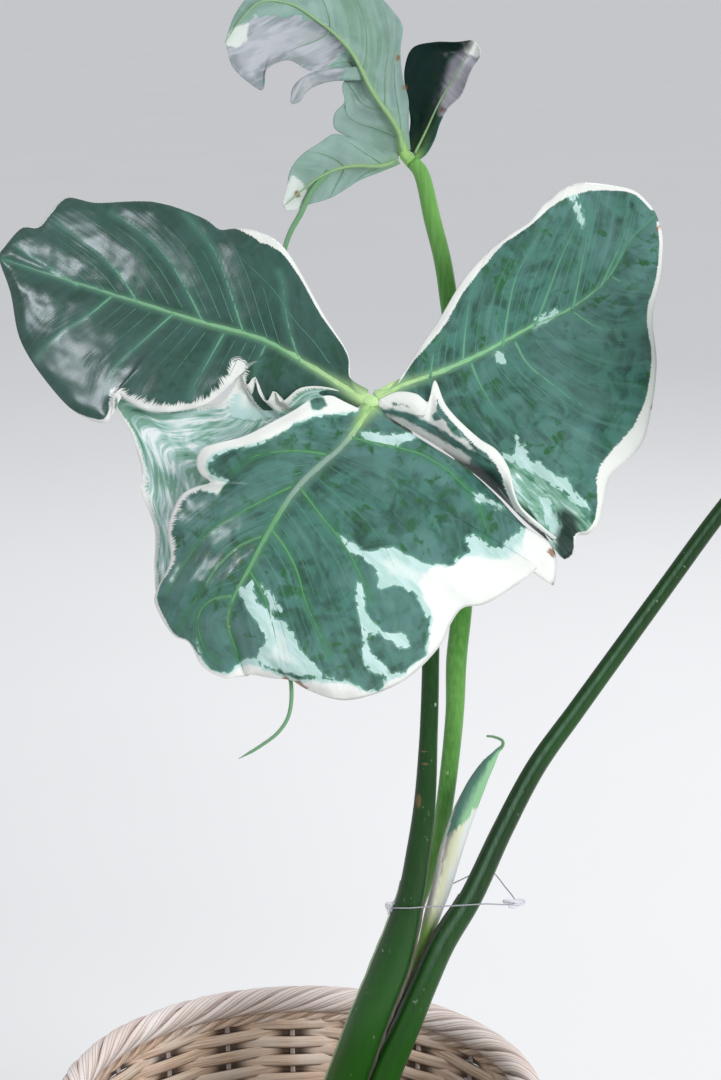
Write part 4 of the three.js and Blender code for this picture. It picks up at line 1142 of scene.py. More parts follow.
def rib_colour(paint, share, tint, root, middle, tip):
    """A rib is pale at the joint and greener towards the tip. The main lobe's is first grey, then bright."""
    plain = paint.over(root, middle, share, 0.02, 0.3)
    plain = paint.over(plain, tip, share, 0.4, 1.0)
    dull = paint.over((0.4, 0.62, 0.25), (0.25, 0.36, 0.3), share, 0.04, 0.14)
    dull = paint.over(dull, (0.13, 0.34, 0.15), share, 0.34, 0.46)
    return paint.mix(tint, plain, dull)


def blade_paint(name, polish, rib, deep, mid, fresh, bloom, mint, milk, sage, sage_share):
    """Blade: green with paler veins, white and pale green patches and a white margin, duller and paler below.

    deep, mid and fresh are its greens, bloom is the bluish grey of the painted sheen over them, mint and
    milk the colours of its patches, and sage is the colour of its underside."""
    paint = Paint(name, Specular_IOR_Level=0.6 * polish, Coat_Weight=polish, Coat_Roughness=0.25)
    white, cream, wash, burn, shade = paint.fields("white cream wash burn shade")
    edge, arc, band, feather = paint.fields("edge arc band feather")
    halo, glow, share, tint, dim = paint.fields("halo glow share tint dim")
    under, along, coarse, pallor, lie, drift = paint.fields("under comb coarse pallor lie drift")

    def combed(tight, long, seed, detail=3):
        """Noise drawn out along the side veins: tight lines in each span between two of them."""
        return paint.noise(1.0, detail, paint.vector(along * tight, coarse * long, seed), 0.3)

    def streaked(tight, long, seed):
        """Noise drawn out along a fold or a ruffle."""
        return paint.noise(1.0, 4, paint.vector(lie * tight, drift * long, seed), 1.1)

    # Green, clouded and flecked, with fine lines along the side veins, and patches of painted sheen
    grain = paint.noise(600, 3)
    green = paint.over(deep, mid, paint.noise(75, 5, distortion=1.0), 0.38, 0.6)
    green = paint.over(green, mid, combed(5.0, 0.035, 2.0), 0.34, 0.66, 0.5)
    # Painted sheen: bluish grey clouds, and streaks along the side veins
    painted_sheen_patches = paint.ramp(paint.noise(32, 4, distortion=0.6), 0.42, 0.62, 0, 0.4)
    green = paint.mix(painted_sheen_patches + paint.ramp(combed(7.0, 0.05, 13.0), 0.48, 0.66, 0, 0.3), green, bloom)
    flecks = paint.ramp(paint.noise(170, 4, distortion=0.5), 0.51, 0.66)
    green = paint.mix(flecks * paint.ramp(paint.noise(30, 3), 0.44, 0.58, 0.15, 0.95), green, fresh)
    green = paint.over(green, (0.1, 0.27, 0.2), combed(14.0, 0.02, 5.0), 0.52, 0.72, 0.3)
    green = paint.over(green, (0.08, 0.2, 0.16), grain, 0.4, 0.8, 0.2)
    # Painted shade: a lobe's whole green darkened towards the deep green
    green = paint.mix(dim, green, deep)
    green = paint.mix(halo * 0.5, green, paint.mix(tint, (0.085, 0.24, 0.18), (0.045, 0.2, 0.07)))
    ribbed = rib_colour(paint, share, tint, *rib)
    green = paint.mix(glow, green, ribbed)

    # Underside
    below = paint.over(toned(sage, 0.72), sage, paint.noise(60, 5, distortion=0.6), 0.36, 0.62)
    below = paint.over(below, fresh, paint.noise(34, 3), 0.54, 0.66, 0.45)
    below = paint.over(below, toned(sage, 1.35), combed(5.0, 0.04, 17.0), 0.45, 0.62, 0.3)
    below = paint.mix(glow * 0.4, below, ribbed)
    green = paint.mix(under * sage_share, green, below)

    # Folds and ruffles, washed with white
    streak = streaked(0.42, 0.07, 9.0)
    level = streaked(0.11, 0.045, 7.0) * 0.6 + streak * 0.4 + (pallor - 0.5) * 0.16
    pale = paint.over((0.06, 0.19, 0.12), (0.2, 0.4, 0.3), level, 0.38, 0.48)
    pale = paint.over(pale, (0.42, 0.62, 0.58), level, 0.49, 0.56)
    pale = paint.over(pale, (0.84, 0.9, 0.9), level, 0.56, 0.64)
    skin = paint.over(green, pale, wash + (streak - 0.5) * 3.0, -0.4, 0.4)

    # Pale patches, splintered along the side veins, and smooth white ones
    ragged = (combed(11.0, 0.14, 3.0, 4) - 0.5) * 3.4 + (paint.chips(300) - 0.5) * 2.2
    patch = white + ragged
    skin = paint.over(skin, (0.16, 0.36, 0.27), patch, -1.5, -0.2, 0.55)
    minty = paint.over(milk[0], mint, level, 0.42, 0.58)
    minty = paint.over(minty, milk[1], white, 3.0, 7.0, 0.5)
    skin = paint.over(skin, minty, patch, -0.2, 0.2)
    skin = paint.over(skin, MARGIN_WHITE, cream + (paint.noise(260, 3) - 0.5) * 3.0, -0.8, 0.8)

    # Margin: a white band with feathers that lean inwards as fine hairs
    lean = arc + edge * 0.5
    tufts = paint.noise(1.0, 2, paint.vector(lean * 0.22, 6.3))
    hairs = paint.noise(1.0, 2, paint.vector(lean * 1.5, 3.1))
    hairs = paint.ramp(hairs, 0.3, 0.72) * paint.ramp(tufts, 0.3, 0.62, 0.25, 1.0)
    reach = band + feather * hairs
    banded = paint.ramp((reach - edge) / (feather * 0.16 + 0.25), -0.4, 1.0) * paint.ramp(reach, 0.05, 0.3)
    skin = paint.mix(under * 0.3, skin, sage)
    # Painted shade: near black inside the shade outlines
    shaded = paint.ramp(shade, -2.5, 2.5, 0, 0.92)
    skin = paint.mix(shaded, skin, (0.002, 0.012, 0.01))
    skin = paint.mix(banded, skin, MARGIN_WHITE)
    skin = paint.over(skin, (0.24, 0.1, 0.035), burn + ragged * 0.5, -0.5, 0.9, 0.85)

    gloss = paint.ramp(paint.noise(45, 4), 0.3, 0.7, 0.3, 0.44) + (under + shaded * 2) * 0.2
    return paint.finish(skin, gloss, grain * 0.2 + combed(9.0, 0.03, 11.0), 0.0007, 0.6)


def vein_paint(name, rib):
    paint = Paint(name, Specular_IOR_Level=0.35)
    share, kind, below, tint = paint.fields("share kind below tint")
    side = paint.over((0.13, 0.34, 0.21), (0.08, 0.23, 0.18), share, 0.0, 1.0)
    side = paint.mix(tint, side, (0.09, 0.28, 0.11))
    base = paint.over(rib_colour(paint, share, tint, *rib), side, kind, 0.2, 0.8)
    base = paint.over(base, (0.08, 0.25, 0.17), kind, 1.2, 1.8)
    base = paint.over(base, (0.16, 0.33, 0.17), kind, 2.2, 2.8)
    base = paint.mix(below * 0.6, base, (0.28, 0.4, 0.25))
    base = paint.over(base, (0.16, 0.38, 0.22), paint.noise(350, 3), 0.4, 0.7, 0.25)
    return paint.finish(base, 0.45, paint.noise(700, 3), 0.0003, 0.4)


blade_skin = blade_paint(
    "leaf_blade_skin", 0.35, FRONT_RIB,
    deep=(0.018, 0.06, 0.043), mid=(0.056, 0.172, 0.138), fresh=(0.018, 0.1, 0.026), bloom=(0.12, 0.25, 0.24),
    mint=(0.52, 0.71, 0.69), milk=((0.42, 0.62, 0.57), (0.84, 0.87, 0.83)),
    sage=(0.3, 0.38, 0.33), sage_share=0.5,
)
back_skin = blade_paint(
    "leaf_underside_skin", 0.12, BACK_RIB,
    deep=(0.012, 0.06, 0.045), mid=(0.03, 0.11, 0.085), fresh=(0.06, 0.2, 0.06), bloom=(0.1, 0.17, 0.17),
    mint=(0.5, 0.48, 0.55), milk=((0.24, 0.24, 0.28), (0.58, 0.55, 0.62)),
    sage=(0.27, 0.4, 0.355), sage_share=1.0,
)
vein_skin = vein_paint("leaf_vein_skin", FRONT_RIB)
back_vein_skin = vein_paint("leaf_underside_vein_skin", BACK_RIB)


def leaf_parts(quality):
    """The lobes and folds of the front leaf. A quality under 1 gives them fewer rows and columns."""
    ear, main, fold = ([max(12, int(n * quality)) for n in grid] for grid in (EAR_GRID, MAIN_GRID, FOLD_GRID))
    # The left ear's green is darkened all over by painted shade.
    left_ear = Blade(
        LEFT_EAR, *ear, veins=(EAR_LEFT_VEINS[:5], EAR_LEFT_VEINS[5:]),
        bands=(LEFT_EAR_UPPER_BAND, LEFT_EAR_LOWER_BAND), dim=0.7,
    )
    right_ear = Blade(
        RIGHT_EAR, *ear, veins=(EAR_RIGHT_VEINS[6:], EAR_RIGHT_VEINS[:6]),
        bands=(RIGHT_EAR_LOWER_BAND, RIGHT_EAR_UPPER_BAND),
        white=RIGHT_EAR_WHITE, wash=RIGHT_EAR_PALE, shade=RIGHT_EAR_SHADE, pallor=0.3,
    )
    main_lobe = Blade(
        MAIN_LOBE, *main, veins=(MAIN_VEINS[:4], MAIN_VEINS[4:]), bands=(MAIN_LEFT_BAND, None),
        white=MAIN_WHITE, cream=MAIN_CREAM, hollow=MAIN_HOLLOW, tint=1.0,
    )
    left_fold = Blade(
        LEFT_FOLD, *fold, bands=(LEFT_FOLD_BAND,), white=LEFT_FOLD_WHITE, pallor=0.8, under_shows=True,
    )
    left_fold.wash[:] = WASHED_ALL_OVER
    right_fold = Blade(
        RIGHT_FOLD, *fold, bands=(RIGHT_FOLD_BAND,),
        cream=RIGHT_FOLD_WHITE, hollow=RIGHT_FOLD_HOLLOW, shade=RIGHT_FOLD_SHADE,
    )
    return [left_ear, right_ear, main_lobe], [left_fold, right_fold]


def add_leaf(name, slot, skins, lobes, folds, place, toward, joint, tail, rib_widths, side_width,
             fine_veins=0, hub=HUB_RADII, knee=None, flip=False):
    """A leaf as two pieces: its blade, and its veins with the hub and the tail."""
    blade = Shape()
    for part in lobes + folds:
        part.add_to(blade, place, flip)
    blade.make(name + "_blade", skins[0], (name,))
    veins = Shape()
    for lobe, width in zip(lobes, rib_widths):
        creases = CREASES if lobe.form is LEFT_EAR else ()
        add_veins(veins, lobe, place, toward, width, side_width, fine_veins, creases)
    add_tail(veins, tail, place, share=0.5, kind=TAIL)
    add_hub(veins, place, joint, hub, share=0.0)
    if knee:
        add_tail(veins, knee, place, share=0.0, kind=RIB)
    veins.make(name + "_veins", skins[1])


front_skins = (blade_skin, vein_skin)
front_look = {"tail": FRONT_TAIL, "rib_widths": RIB_WIDTHS, "side_width": SIDE_VEIN_WIDTH}
add_leaf("leaf_front", "leaf_blade", front_skins, *leaf_parts(1.0), front_leaf, towards_viewer, FRONT_JOINT,
         fine_veins=3, **front_look)
add_leaf("leaf_side", "leaf_blade", front_skins, *leaf_parts(SIDE_LEAF_QUALITY), side_leaf, towards_side,
         FRONT_JOINT, fine_veins=1, flip=True, **front_look)

back_main = Blade(
    BACK_MAIN, *BACK_MAIN_GRID, veins=side_veins(BACK_MAIN, BACK_VEIN_STARTS, BACK_VEIN_REACH),
    white=BACK_WHITE, cream=BACK_TIPS, lift=-1, slant=25,
)
back_left = Blade(
    BACK_LEFT_EAR, *BACK_LEFT_GRID, veins=side_veins(BACK_LEFT_EAR, BACK_EAR_VEIN_STARTS, BACK_VEIN_REACH),
    cream=BACK_TIPS, lift=-1,
)
back_right = Blade(
    BACK_RIGHT_EAR, *BACK_RIGHT_GRID, white=BACK_RIGHT_ROLL, cream=BACK_TIPS, shade=BACK_RIGHT_SHADE,
    lift=-1, under_shows=True,
)
back_strap = Blade(BACK_STRAP, *BACK_STRAP_GRID, white=BACK_WHITE, lift=-1)
add_leaf("leaf_back", "leaf_underside", (back_skin, back_vein_skin), [back_main, back_left, back_right],
         [back_strap], back_leaf, from_viewer, BACK_JOINT, tail=BACK_TAIL, rib_widths=BACK_RIB_WIDTHS,
         side_width=BACK_SIDE_VEIN_WIDTH, hub=BACK_HUB_RADII, knee=BACK_KNEE)


# Leaf stalks

STALK_RINGS = 260
STALK_MARKS = [
    [29, -130.5, 1.8, 5], [31.5, -106, 3, 0.8], [32.5, -112, 3, 0.8], [31, -98.5, 3.2, 0.7], [-4, -216, 1, 4],
]
PLAIN, PAPERY, GREEN_PAPERY = 0.0, 1.0, 2.0


def stalk_frame(points):
    """A stalk's run: places, radii, and the directions to the viewer and to the right of the viewer."""
    points = np.array(points, float)
    shares = np.linspace(0, 1, STALK_RINGS)
    path = through(on_sheet(points[:, :3]), shares)
    radii = np.interp(shares, np.linspace(0, 1, len(points)), points[:, 3])
    along = directions_of(path)
    front = square_to(EYE - path, along)
    return path, radii[:, None], front, np.cross(along, front)


def add_stalk(shape, points, groove, depth, fade, pale=0.0):
    """A slightly ridged stalk with a groove down one side, which is gone at share fade of its run.

    pale is how strong a painted highlight is in a narrow line down the groove.
    """
    path, radii, front, _ = stalk_frame(points)
    t = np.linspace(0, 1, len(path))[:, None]
    angle = around(32)
    r = radii * (1 + 0.012 * np.sin(8 * angle) + 0.02 * np.sin(2 * angle + 5 * t))
    off = (angle - math.radians(groove) + math.pi) % TAU - math.pi
    dip = bell(off, 0.2) - 0.4 * bell(np.abs(off) - 0.45, 0.16)
    r = r - depth * dip * step(t, fade, 0)
    pale = pale * bell(off, 0.16) * step(t, 0.2, 0.4)
    sweep(shape, path, front, r * np.cos(angle), r * np.sin(angle), share=t, kind=PLAIN, pale=pale)
    drawn = drawn_from(shape.points[-1])
    marks = [1 - np.linalg.norm((drawn - [x, y]) / [wide, tall], axis=1) for x, y, wide, tall in STALK_MARKS]
    shape.fields["mark"] = [np.max(marks, axis=0)]


def add_sheath_edge(shape, points, angle, start, end, height, kind):
    """A papery edge of the stalk's sheath, which stands out of it along part of its run."""
    path, radii, front, side = stalk_frame(points)
    part = slice(int(start * STALK_RINGS), int(end * STALK_RINGS))
    angle = math.radians(angle)
    outward = (front * math.cos(angle) + side * math.sin(angle))[part]
    t = np.linspace(0, 1, len(outward))[:, None]
    uneven = 1 + 0.25 * np.sin(31 * t) * np.sin(47 * t + 1)
    stands = height * np.sin(math.pi * (0.03 + 0.94 * t)) ** 0.5 * uneven
    foot = np.full(t.shape, -0.7)
    wide = np.concatenate([foot, stands, stands, foot], 1)
    thick = [-0.35, -0.1, 0.1, 0.35]
    sweep(shape, path[part] + outward * radii[part], outward, wide, thick, share=t, kind=kind)


def stalk_paint(name, dark, light, low):
    """Stalk: green with fine lines, the colour low near its foot, with papery edges, scars and flecks.

    Where the pale field is set, a paler line is painted on as a highlight.
    """
    paint = Paint(name, Coat_Weight=0.03, Coat_Roughness=0.2, Specular_IOR_Level=0.3)
    share, kind, pale, mark = paint.fields("share kind pale mark")
    lines = paint.noise(700, 3, paint.stretched(1, 1, 0.02))
    tone = paint.noise(18, 3, paint.stretched(1, 1, 0.5))
    fibre = paint.noise(500, 3, paint.stretched(1, 1, 0.1))
    green = paint.mix(paint.ramp(lines, 0.2, 0.8, 0, 0.4) + paint.ramp(tone, 0.3, 0.7, 0, 0.6), dark, light)
    green = paint.over(green, low, share, 0.34, 0.1, 0.8)
    # Painted highlight: a paler line down the groove where pale is set
    green = paint.mix(pale * paint.ramp(lines, 0.2, 0.8, 0.5, 1.0), green, (0.2, 0.33, 0.24))
    green = paint.over(green, (0.22, 0.13, 0.06), mark + paint.noise(400, 3) * 0.5, 0.3, 0.8, 0.6)
    flecks = paint.ramp(paint.noise(500, 2, paint.stretched(1, 1, 0.5)), 0.66, 0.74)
    green = paint.mix(flecks * paint.ramp(paint.noise(60, 2), 0.5, 0.62, 0, 0.6), green, (0.4, 0.52, 0.36))
    papery = paint.mix(fibre, (0.05, 0.045, 0.035), (0.2, 0.18, 0.15))
    papery = paint.over(papery, paint.mix(fibre, (0.28, 0.42, 0.2), (0.55, 0.6, 0.48)), kind, 1.2, 1.8)
    skin = paint.over(green, papery, kind, 0.2, 0.8)
    return paint.finish(skin, paint.ramp(tone, 0.3, 0.7, 0.3, 0.4), lines, 0.0003, 0.25)


stalk_skin = stalk_paint(
    "leaf_stalk_skin", dark=(0.004, 0.026, 0.004), light=(0.014, 0.076, 0.01), low=(0.024, 0.13, 0.013),
)
pale_stalk_skin = stalk_paint(
    "pale_stalk_skin", dark=(0.05, 0.2, 0.025), light=(0.19, 0.44, 0.11), low=(0.03, 0.13, 0.02),
)
front_stalk = Shape()
add_stalk(front_stalk, FRONT_STALK, groove=72, depth=1.5, fade=0.36)
add_sheath_edge(front_stalk, FRONT_STALK, angle=98, start=0.03, end=0.34, height=1.5, kind=PAPERY)
add_sheath_edge(front_stalk, FRONT_STALK, angle=-84, start=0.05, end=0.36, height=1.0, kind=GREEN_PAPERY)
front_stalk.make("stalk_front_skin", stalk_skin, ("stalk_front",))
side_stalk = Shape()
# The side stalk carries a painted highlight down its groove.
add_stalk(side_stalk, SIDE_STALK, groove=-6, depth=0.7, fade=1.0, pale=0.6)
add_sheath_edge(side_stalk, SIDE_STALK, angle=-88, start=0.03, end=0.4, height=1.0, kind=PAPERY)
side_stalk.make("stalk_side_skin", stalk_skin, ("stalk_side",))
back_stalk = Shape()
add_stalk(back_stalk, BACK_STALK, groove=20, depth=0.7, fade=0.4)
back_stalk.make("stalk_back_skin", pale_stalk_skin, ("stalk_back",))

# Rolled new leaf

GREEN_STARTS = (42, -150.9)
GREEN_SLANT = (-0.72, 0.69)


def add_rolled_leaf(shape, points):
    """The new leaf: a blade rolled round itself, so that its outer margin winds up it as a raised edge."""
    path, radii, front, _ = stalk_frame(points)
    t = np.linspace(0, 1, len(path))[:, None]
    angle = around(48)
    rolled = step(t, 0.28, 0.36) * step(t, 0.86, 0.76)
    wound = (angle - 1.9 + 5.5 * t) % TAU / TAU
    r = radii * (1 + rolled * (0.14 * wound - 0.07)) + 0.15 * rolled * np.sin(40 * t + 3 * angle)
    sweep(shape, path, front, r * np.cos(angle), r * np.sin(angle), share=t, wound=wound * rolled)
    drawn = drawn_from(shape.points[-1])
    shape.fields["above"] = [(drawn - GREEN_STARTS) @ GREEN_SLANT]
    # How far round to the viewer's right each place lies, which the paint uses for painted shade
    shape.fields["right"] = [np.broadcast_to(0.5 + 0.5 * np.sin(angle), r.shape).ravel()]


def rolled_paint():
    paint = Paint("rolled_new_leaf_skin", Specular_IOR_Level=0.45)
    share, wound, above, right = paint.fields("share wound above right")
    lines = paint.noise(500, 3, paint.stretched(1, 1, 0.04))
    # Painted shade across the roll: darker towards the viewer's left and lighter towards the right, in the
    # green and in the cream
    across = right + (lines - 0.5) * 0.5
    green = paint.over((0.11, 0.25, 0.19), (0.3, 0.58, 0.32), across, 0.3, 0.7)
    cream = paint.over((0.36, 0.33, 0.31), (0.78, 0.8, 0.58), across, 0.12, 0.38)
    cream = paint.over(cream, (0.8, 0.84, 0.82), across, 0.62, 0.85)
    skin = paint.over(cream, green, above + (lines - 0.5) * 7.0, -0.8, 0.8)
    skin = paint.over(skin, (0.86, 0.88, 0.78), wound, 0.88, 0.97, 0.7)
    skin = paint.over(skin, (0.22, 0.4, 0.08), share, 0.36, 0.3)
    skin = paint.over(skin, (0.16, 0.32, 0.16), share, 0.74, 0.8)
    return paint.finish(skin, paint.ramp(lines, 0.3, 0.7, 0.38, 0.5), lines, 0.0004, 0.4)


new_leaf = Shape()
add_rolled_leaf(new_leaf, NEW_LEAF)
new_leaf.make("new_leaf_roll", rolled_paint(), ("new_leaf",))

# Tie: two fine threads twisted together, with a knot at each side

THREAD = 0.24
TIE_TWISTS = 60
TIE_KNOTS = (([15.2, -184, 51], (1.4, 1.2, 2.3)), ([77, -181.5, 52], (3.3, 1.1, 1.2)))


def knot_path(size, count):
    """A trefoil knot, as offsets in millimetres."""
    a = around(count)
    trefoil = np.stack([np.sin(a) + 2 * np.sin(2 * a), -np.sin(3 * a), np.cos(a) - 2 * np.cos(2 * a)], -1)
    return trefoil * 0.62 * np.array(size)


def thread_paint():
    paint = Paint("tie_thread_skin", Specular_IOR_Level=0.5, Sheen_Weight=0.3)
    fibre = paint.noise(1500, 3)
    strand = paint.mix(fibre, (0.24, 0.25, 0.28), (0.5, 0.5, 0.55))
    knot = paint.mix(fibre, (0.6, 0.59, 0.65), (0.88, 0.87, 0.92))
    return paint.finish(paint.mix(paint.field("knot"), strand, knot), 0.45, paint.noise(3000, 2), 0.0002, 0.5)


tie = Shape()
shares = np.arange(300) / 300
path = Line(on_sheet(np.array(TIE_LOOP, float)), closed=True).at(shares)
along = directions_of(path, closed=True)
level = unit(np.cross(along, [0.0, 0.0, 1.0]))
for start in (0, math.pi):
    turn = (TIE_TWISTS * TAU * shares + start)[:, None]
    twisted = path + THREAD * 0.8 * (level * np.cos(turn) + np.cross(along, level) * np.sin(turn))
    sweep(tie, twisted, level, *round_section(THREAD, 6), closed=True)
for at, size in TIE_KNOTS:
    path = on_sheet(np.array(at, float)) + knot_path(size, 60)
    sweep(tie, path, [0.3, 1.0, 0.2], *round_section(THREAD * 3, 8), closed=True, knot=1.0)
tie.make("tie_thread_twist", thread_paint(), ("tie_thread",))

# Basket

BASKET_HEIGHT = 202.0
BASKET_WALL = 6.0
STAKES = 20
STAKE_START = math.radians(93.6)
STAKE_RADIUS = 1.45
WEAVERS = 34
WEAVER_START = 8.5
WEAVER_PITCH = 5.6
WEAVE_SWING = 2.1
WEAVER_HALF = (1.7, 3.75)
FLOOR_LEVEL = 4.1
FLOOR_RINGS = 16
FLOOR_PITCH = 5.7
FLOOR_HALF = (2.75, 1.4)
FOOT_ROPE = (95.5, 3.3)
TOP_ROPE_HEIGHT = 200.5
RIM_CENTRE = (123.0, 210.65)
RIM_CORE = 4.3
RIM_PAIR_SPREAD = 0.46


def wall_radius(z):
    share = np.asarray(z) / BASKET_HEIGHT
    return 100 + 26 * share + 4 * np.sin(math.pi * share) - BASKET_WALL / 2


def ring_path(angle, radius, z):
    return stacked(np.cos(angle) * radius, np.sin(angle) * radius, z)


def squarish(half_wide, half_high, sides):
    """A section between an oval and a box."""
    angle = around(sides, 0.5)
    halves = ((half_wide, np.cos(angle)), (half_high, np.sin(angle)))
    return [half * np.sign(way) * np.abs(way) ** 0.75 for half, way in halves]


def over_stakes(angle, row):
    """1 where a row of the weave passes outside a stake, and -1 where it passes inside one."""
    return np.cos(STAKES / 2 * (angle - STAKE_START) + math.pi * row)


def cane_paint(name, dark, light, streaked):
    """Split cane: fibres along each strand and a tone of its own for each strand.

    Painted shade darkens two opposite sides of each strand, where strands lie together, and the crevices
    beside the stakes.
    """
    paint = Paint(name, Specular_IOR_Level=0.3)
    run, turn, tone, deep, stake = paint.fields("run turn tone deep stake")
    fibre = paint.noise(1.0, 4, paint.vector(run * 0.035, turn * 26.0, tone))
    patch = paint.noise(1.0, 2, paint.vector(run * 0.03, tone))
    skin = paint.over(dark, light, fibre, 0.3, 0.7)
    skin = paint.over(skin, streaked, patch, 0.42, 0.72, 0.75)
    skin = paint.over(skin, dark, tone, 0.0, 10.0, 0.25)
    skin = paint.mix(stake * 0.75, skin, (0.62, 0.56, 0.58))
    # Painted shade along two opposite sides of each strand, where strands lie against each other
    painted_crease_shade = paint.math("ABSOLUTE", paint.math("SINE", turn * TAU))
    skin = paint.over(skin, toned(dark, 0.4), painted_crease_shade, 0.75, 1.0, 0.5)
    # Painted shade: near black in the crevices beside the stakes
    skin = paint.over(skin, (0.05, 0.028, 0.015), deep, 0.0, 0.8, 0.9)
    return paint.finish(skin, paint.ramp(fibre, 0.3, 0.7, 0.55, 0.75), fibre, 0.0006, 0.6)


def add_cane(shape, path, across, wide, high, closed=True, **fields):
    """One strand of cane, with a tone of its own."""
    sweep(shape, path, across, wide, high, closed, tone=10 * random.random(), **fields)


def add_weavers(shape):
    angle = around(9 * STAKES)
    section = squarish(*WEAVER_HALF, 8)
    for row in range(WEAVERS):
        over = over_stakes(angle, row)
        uneven = roughness_at(stacked(angle * 3, 0 * angle + row, 0 * angle), 1.0, 2)
        z = WEAVER_START + WEAVER_PITCH * (row + 0.5) + 0.35 * uneven
        radius = wall_radius(z) + WEAVE_SWING * over * (1 - 0.12 * np.abs(over))
        # Painted shade for the crevices beside the stakes, on the side of each weaver that faces a stake
        facing_stake = -np.sign(over)[:, None] * np.sign(section[0])
        painted_crevice_shade = np.clip(np.abs(over)[:, None] ** 3 * facing_stake, 0, 1)
        add_cane(shape, ring_path(angle, radius, z), ring_path(angle, 1.0, 0.0), *section, deep=painted_crevice_shade)


def add_basket_floor(shape):
    angle = around(6 * STAKES)
    for row in range(FLOOR_RINGS):
        radius = 4.0 + FLOOR_PITCH * row
        z = FLOOR_LEVEL + 2.2 * min(1.0, radius / 45) * over_stakes(angle, row)
        add_cane(shape, ring_path(angle, radius, z), ring_path(angle, 1.0, 0.0), *squarish(*FLOOR_HALF, 6))


def add_stakes(shape):
    """The stakes run out over the floor from its middle and then up the wall."""
    climb = np.linspace(6, 206, 60)
    across_floor = np.linspace(8, 91, 16)
    radius = np.concatenate([across_floor, [94.5], wall_radius(climb)])
    height = np.concatenate([across_floor * 0 + FLOOR_LEVEL, [4.6], climb])
    for angle in STAKE_START + around(STAKES):
        across = ring_path(angle + math.pi / 2, 1.0, 0.0)
        add_cane(shape, ring_path(angle, radius, height), across, *round_section(STAKE_RADIUS, 8),
                 closed=False, stake=1.0)


def add_rope(shape, radius, height, strands, turns, spread, cane, steps):
    """Canes twisted round a ring.

    strands are where each starts round the twist, and cane is half its thickness and half its width."""
    angle = around(steps)
    for offset in strands:
        turn = turns * angle + offset + 0.16 * roughness_at(ring_path(angle, 3.0, offset), 1.0, 2)
        out = spread * (1 + 0.07 * roughness_at(ring_path(angle, 4.0, offset + 9), 1.0, 2))
        path = ring_path(angle, radius + out * np.cos(turn), height + out * np.sin(turn))
        add_cane(shape, path, ring_path(angle, np.cos(turn), np.sin(turn)), *squarish(*cane, 8))


wall = Shape()
add_weavers(wall)
add_basket_floor(wall)
add_rope(wall, *FOOT_ROPE, strands=(0, math.pi), turns=22, spread=1.5, cane=(1.5, 1.6), steps=360)
add_rope(wall, wall_radius(TOP_ROPE_HEIGHT), TOP_ROPE_HEIGHT, strands=around(3), turns=20, spread=2.1,
         cane=(1.6, 1.9), steps=480)
add_stakes(wall)
weave_skin = cane_paint(
    "basket_weave_cane", dark=(0.6, 0.4, 0.28), light=(1.0, 0.8, 0.64), streaked=(1.0, 0.89, 0.8),
)
wall.make("basket_wall_weave", weave_skin, ("basket_wall",))

rim = Shape()
add_rope(rim, *RIM_CENTRE, strands=(0,), turns=0, spread=0.0, cane=(RIM_CORE, RIM_CORE), steps=120)
pairs = [TAU * pair / 3 + RIM_PAIR_SPREAD * side for pair in range(3) for side in (-1, 1)]
add_rope(rim, *RIM_CENTRE, strands=pairs, turns=8, spread=5.7, cane=(1.7, 3.1), steps=420)
plait_skin = cane_paint(
    "basket_plait_cane", dark=(0.84, 0.67, 0.6), light=(1.0, 0.9, 0.86), streaked=(1.0, 0.93, 0.91),
)
rim.make("basket_rim_plait", plait_skin, ("basket_rim",))

# Growing pot

POT_STANDS_AT = 8.35
POT_PROFILE = [
    (0, 0), (73, 0), (74, 0.8), (96, 127.4), (96.4, 128), (99.4, 128), (100, 128.6), (100, 139.4),
    (99.4, 140), (99, 140), (98.4, 139.4), (97.9, 130.4), (94.5, 129.4), (72.6, 3.6), (71.8, 3), (0, 3),
]
DRAIN_HOLES = 6
DRAIN_RADIUS = 6.0
DRAIN_CIRCLE = 45.0


def add_lathe(shape, profile, sides, centre=(0, 0)):
    """A profile of (radius, height) turned round an upright axis."""
    radius, height = np.array(profile, float).T[:, :, None]
    rings = ring_path(around(sides), radius, height) + np.array([*centre, 0.0])
    shape.add(rings, ring_faces(len(profile), sides))


def drill(piece, cutter):
    """Cuts one piece with another, which is then deleted."""
    cut = piece.modifiers.new("drill", "BOOLEAN")
    cut.operation = "DIFFERENCE"
    cut.object = cutter
    drilled = bpy.data.meshes.new_from_object(piece.evaluated_get(bpy.context.evaluated_depsgraph_get()))
    piece.modifiers.clear()
    piece.data = drilled
    bpy.data.objects.remove(cutter)


def plastic_paint():
    paint = Paint("pot_plastic_skin", Specular_IOR_Level=0.45)
    grain = paint.noise(900, 3)
    dust = paint.ramp(paint.noise(60, 4), 0.5, 0.8, 0, 0.35)
    skin = paint.mix(grain, (0.014, 0.012, 0.011), (0.024, 0.021, 0.019))
    skin = paint.mix(dust, skin, (0.12, 0.09, 0.06))
    return paint.finish(skin, paint.ramp(dust, 0, 0.35, 0.38, 0.7), grain, 0.0003, 0.4)


pot = Shape()
add_lathe(pot, [(max(r, 0.01), z + POT_STANDS_AT) for r, z in POT_PROFILE], 128)
pot_piece = pot.make("growing_pot_shell", plastic_paint(), ("growing_pot",))
holes = Shape()
for angle in around(DRAIN_HOLES, 0.5):
    centre = (DRAIN_CIRCLE * math.cos(angle), DRAIN_CIRCLE * math.sin(angle))
    add_lathe(holes, [(DRAIN_RADIUS, 2), (DRAIN_RADIUS, 16)], 24, centre)
drill(pot_piece, holes.make("pot_drill", pot_piece.data.materials[0]))

# Soil

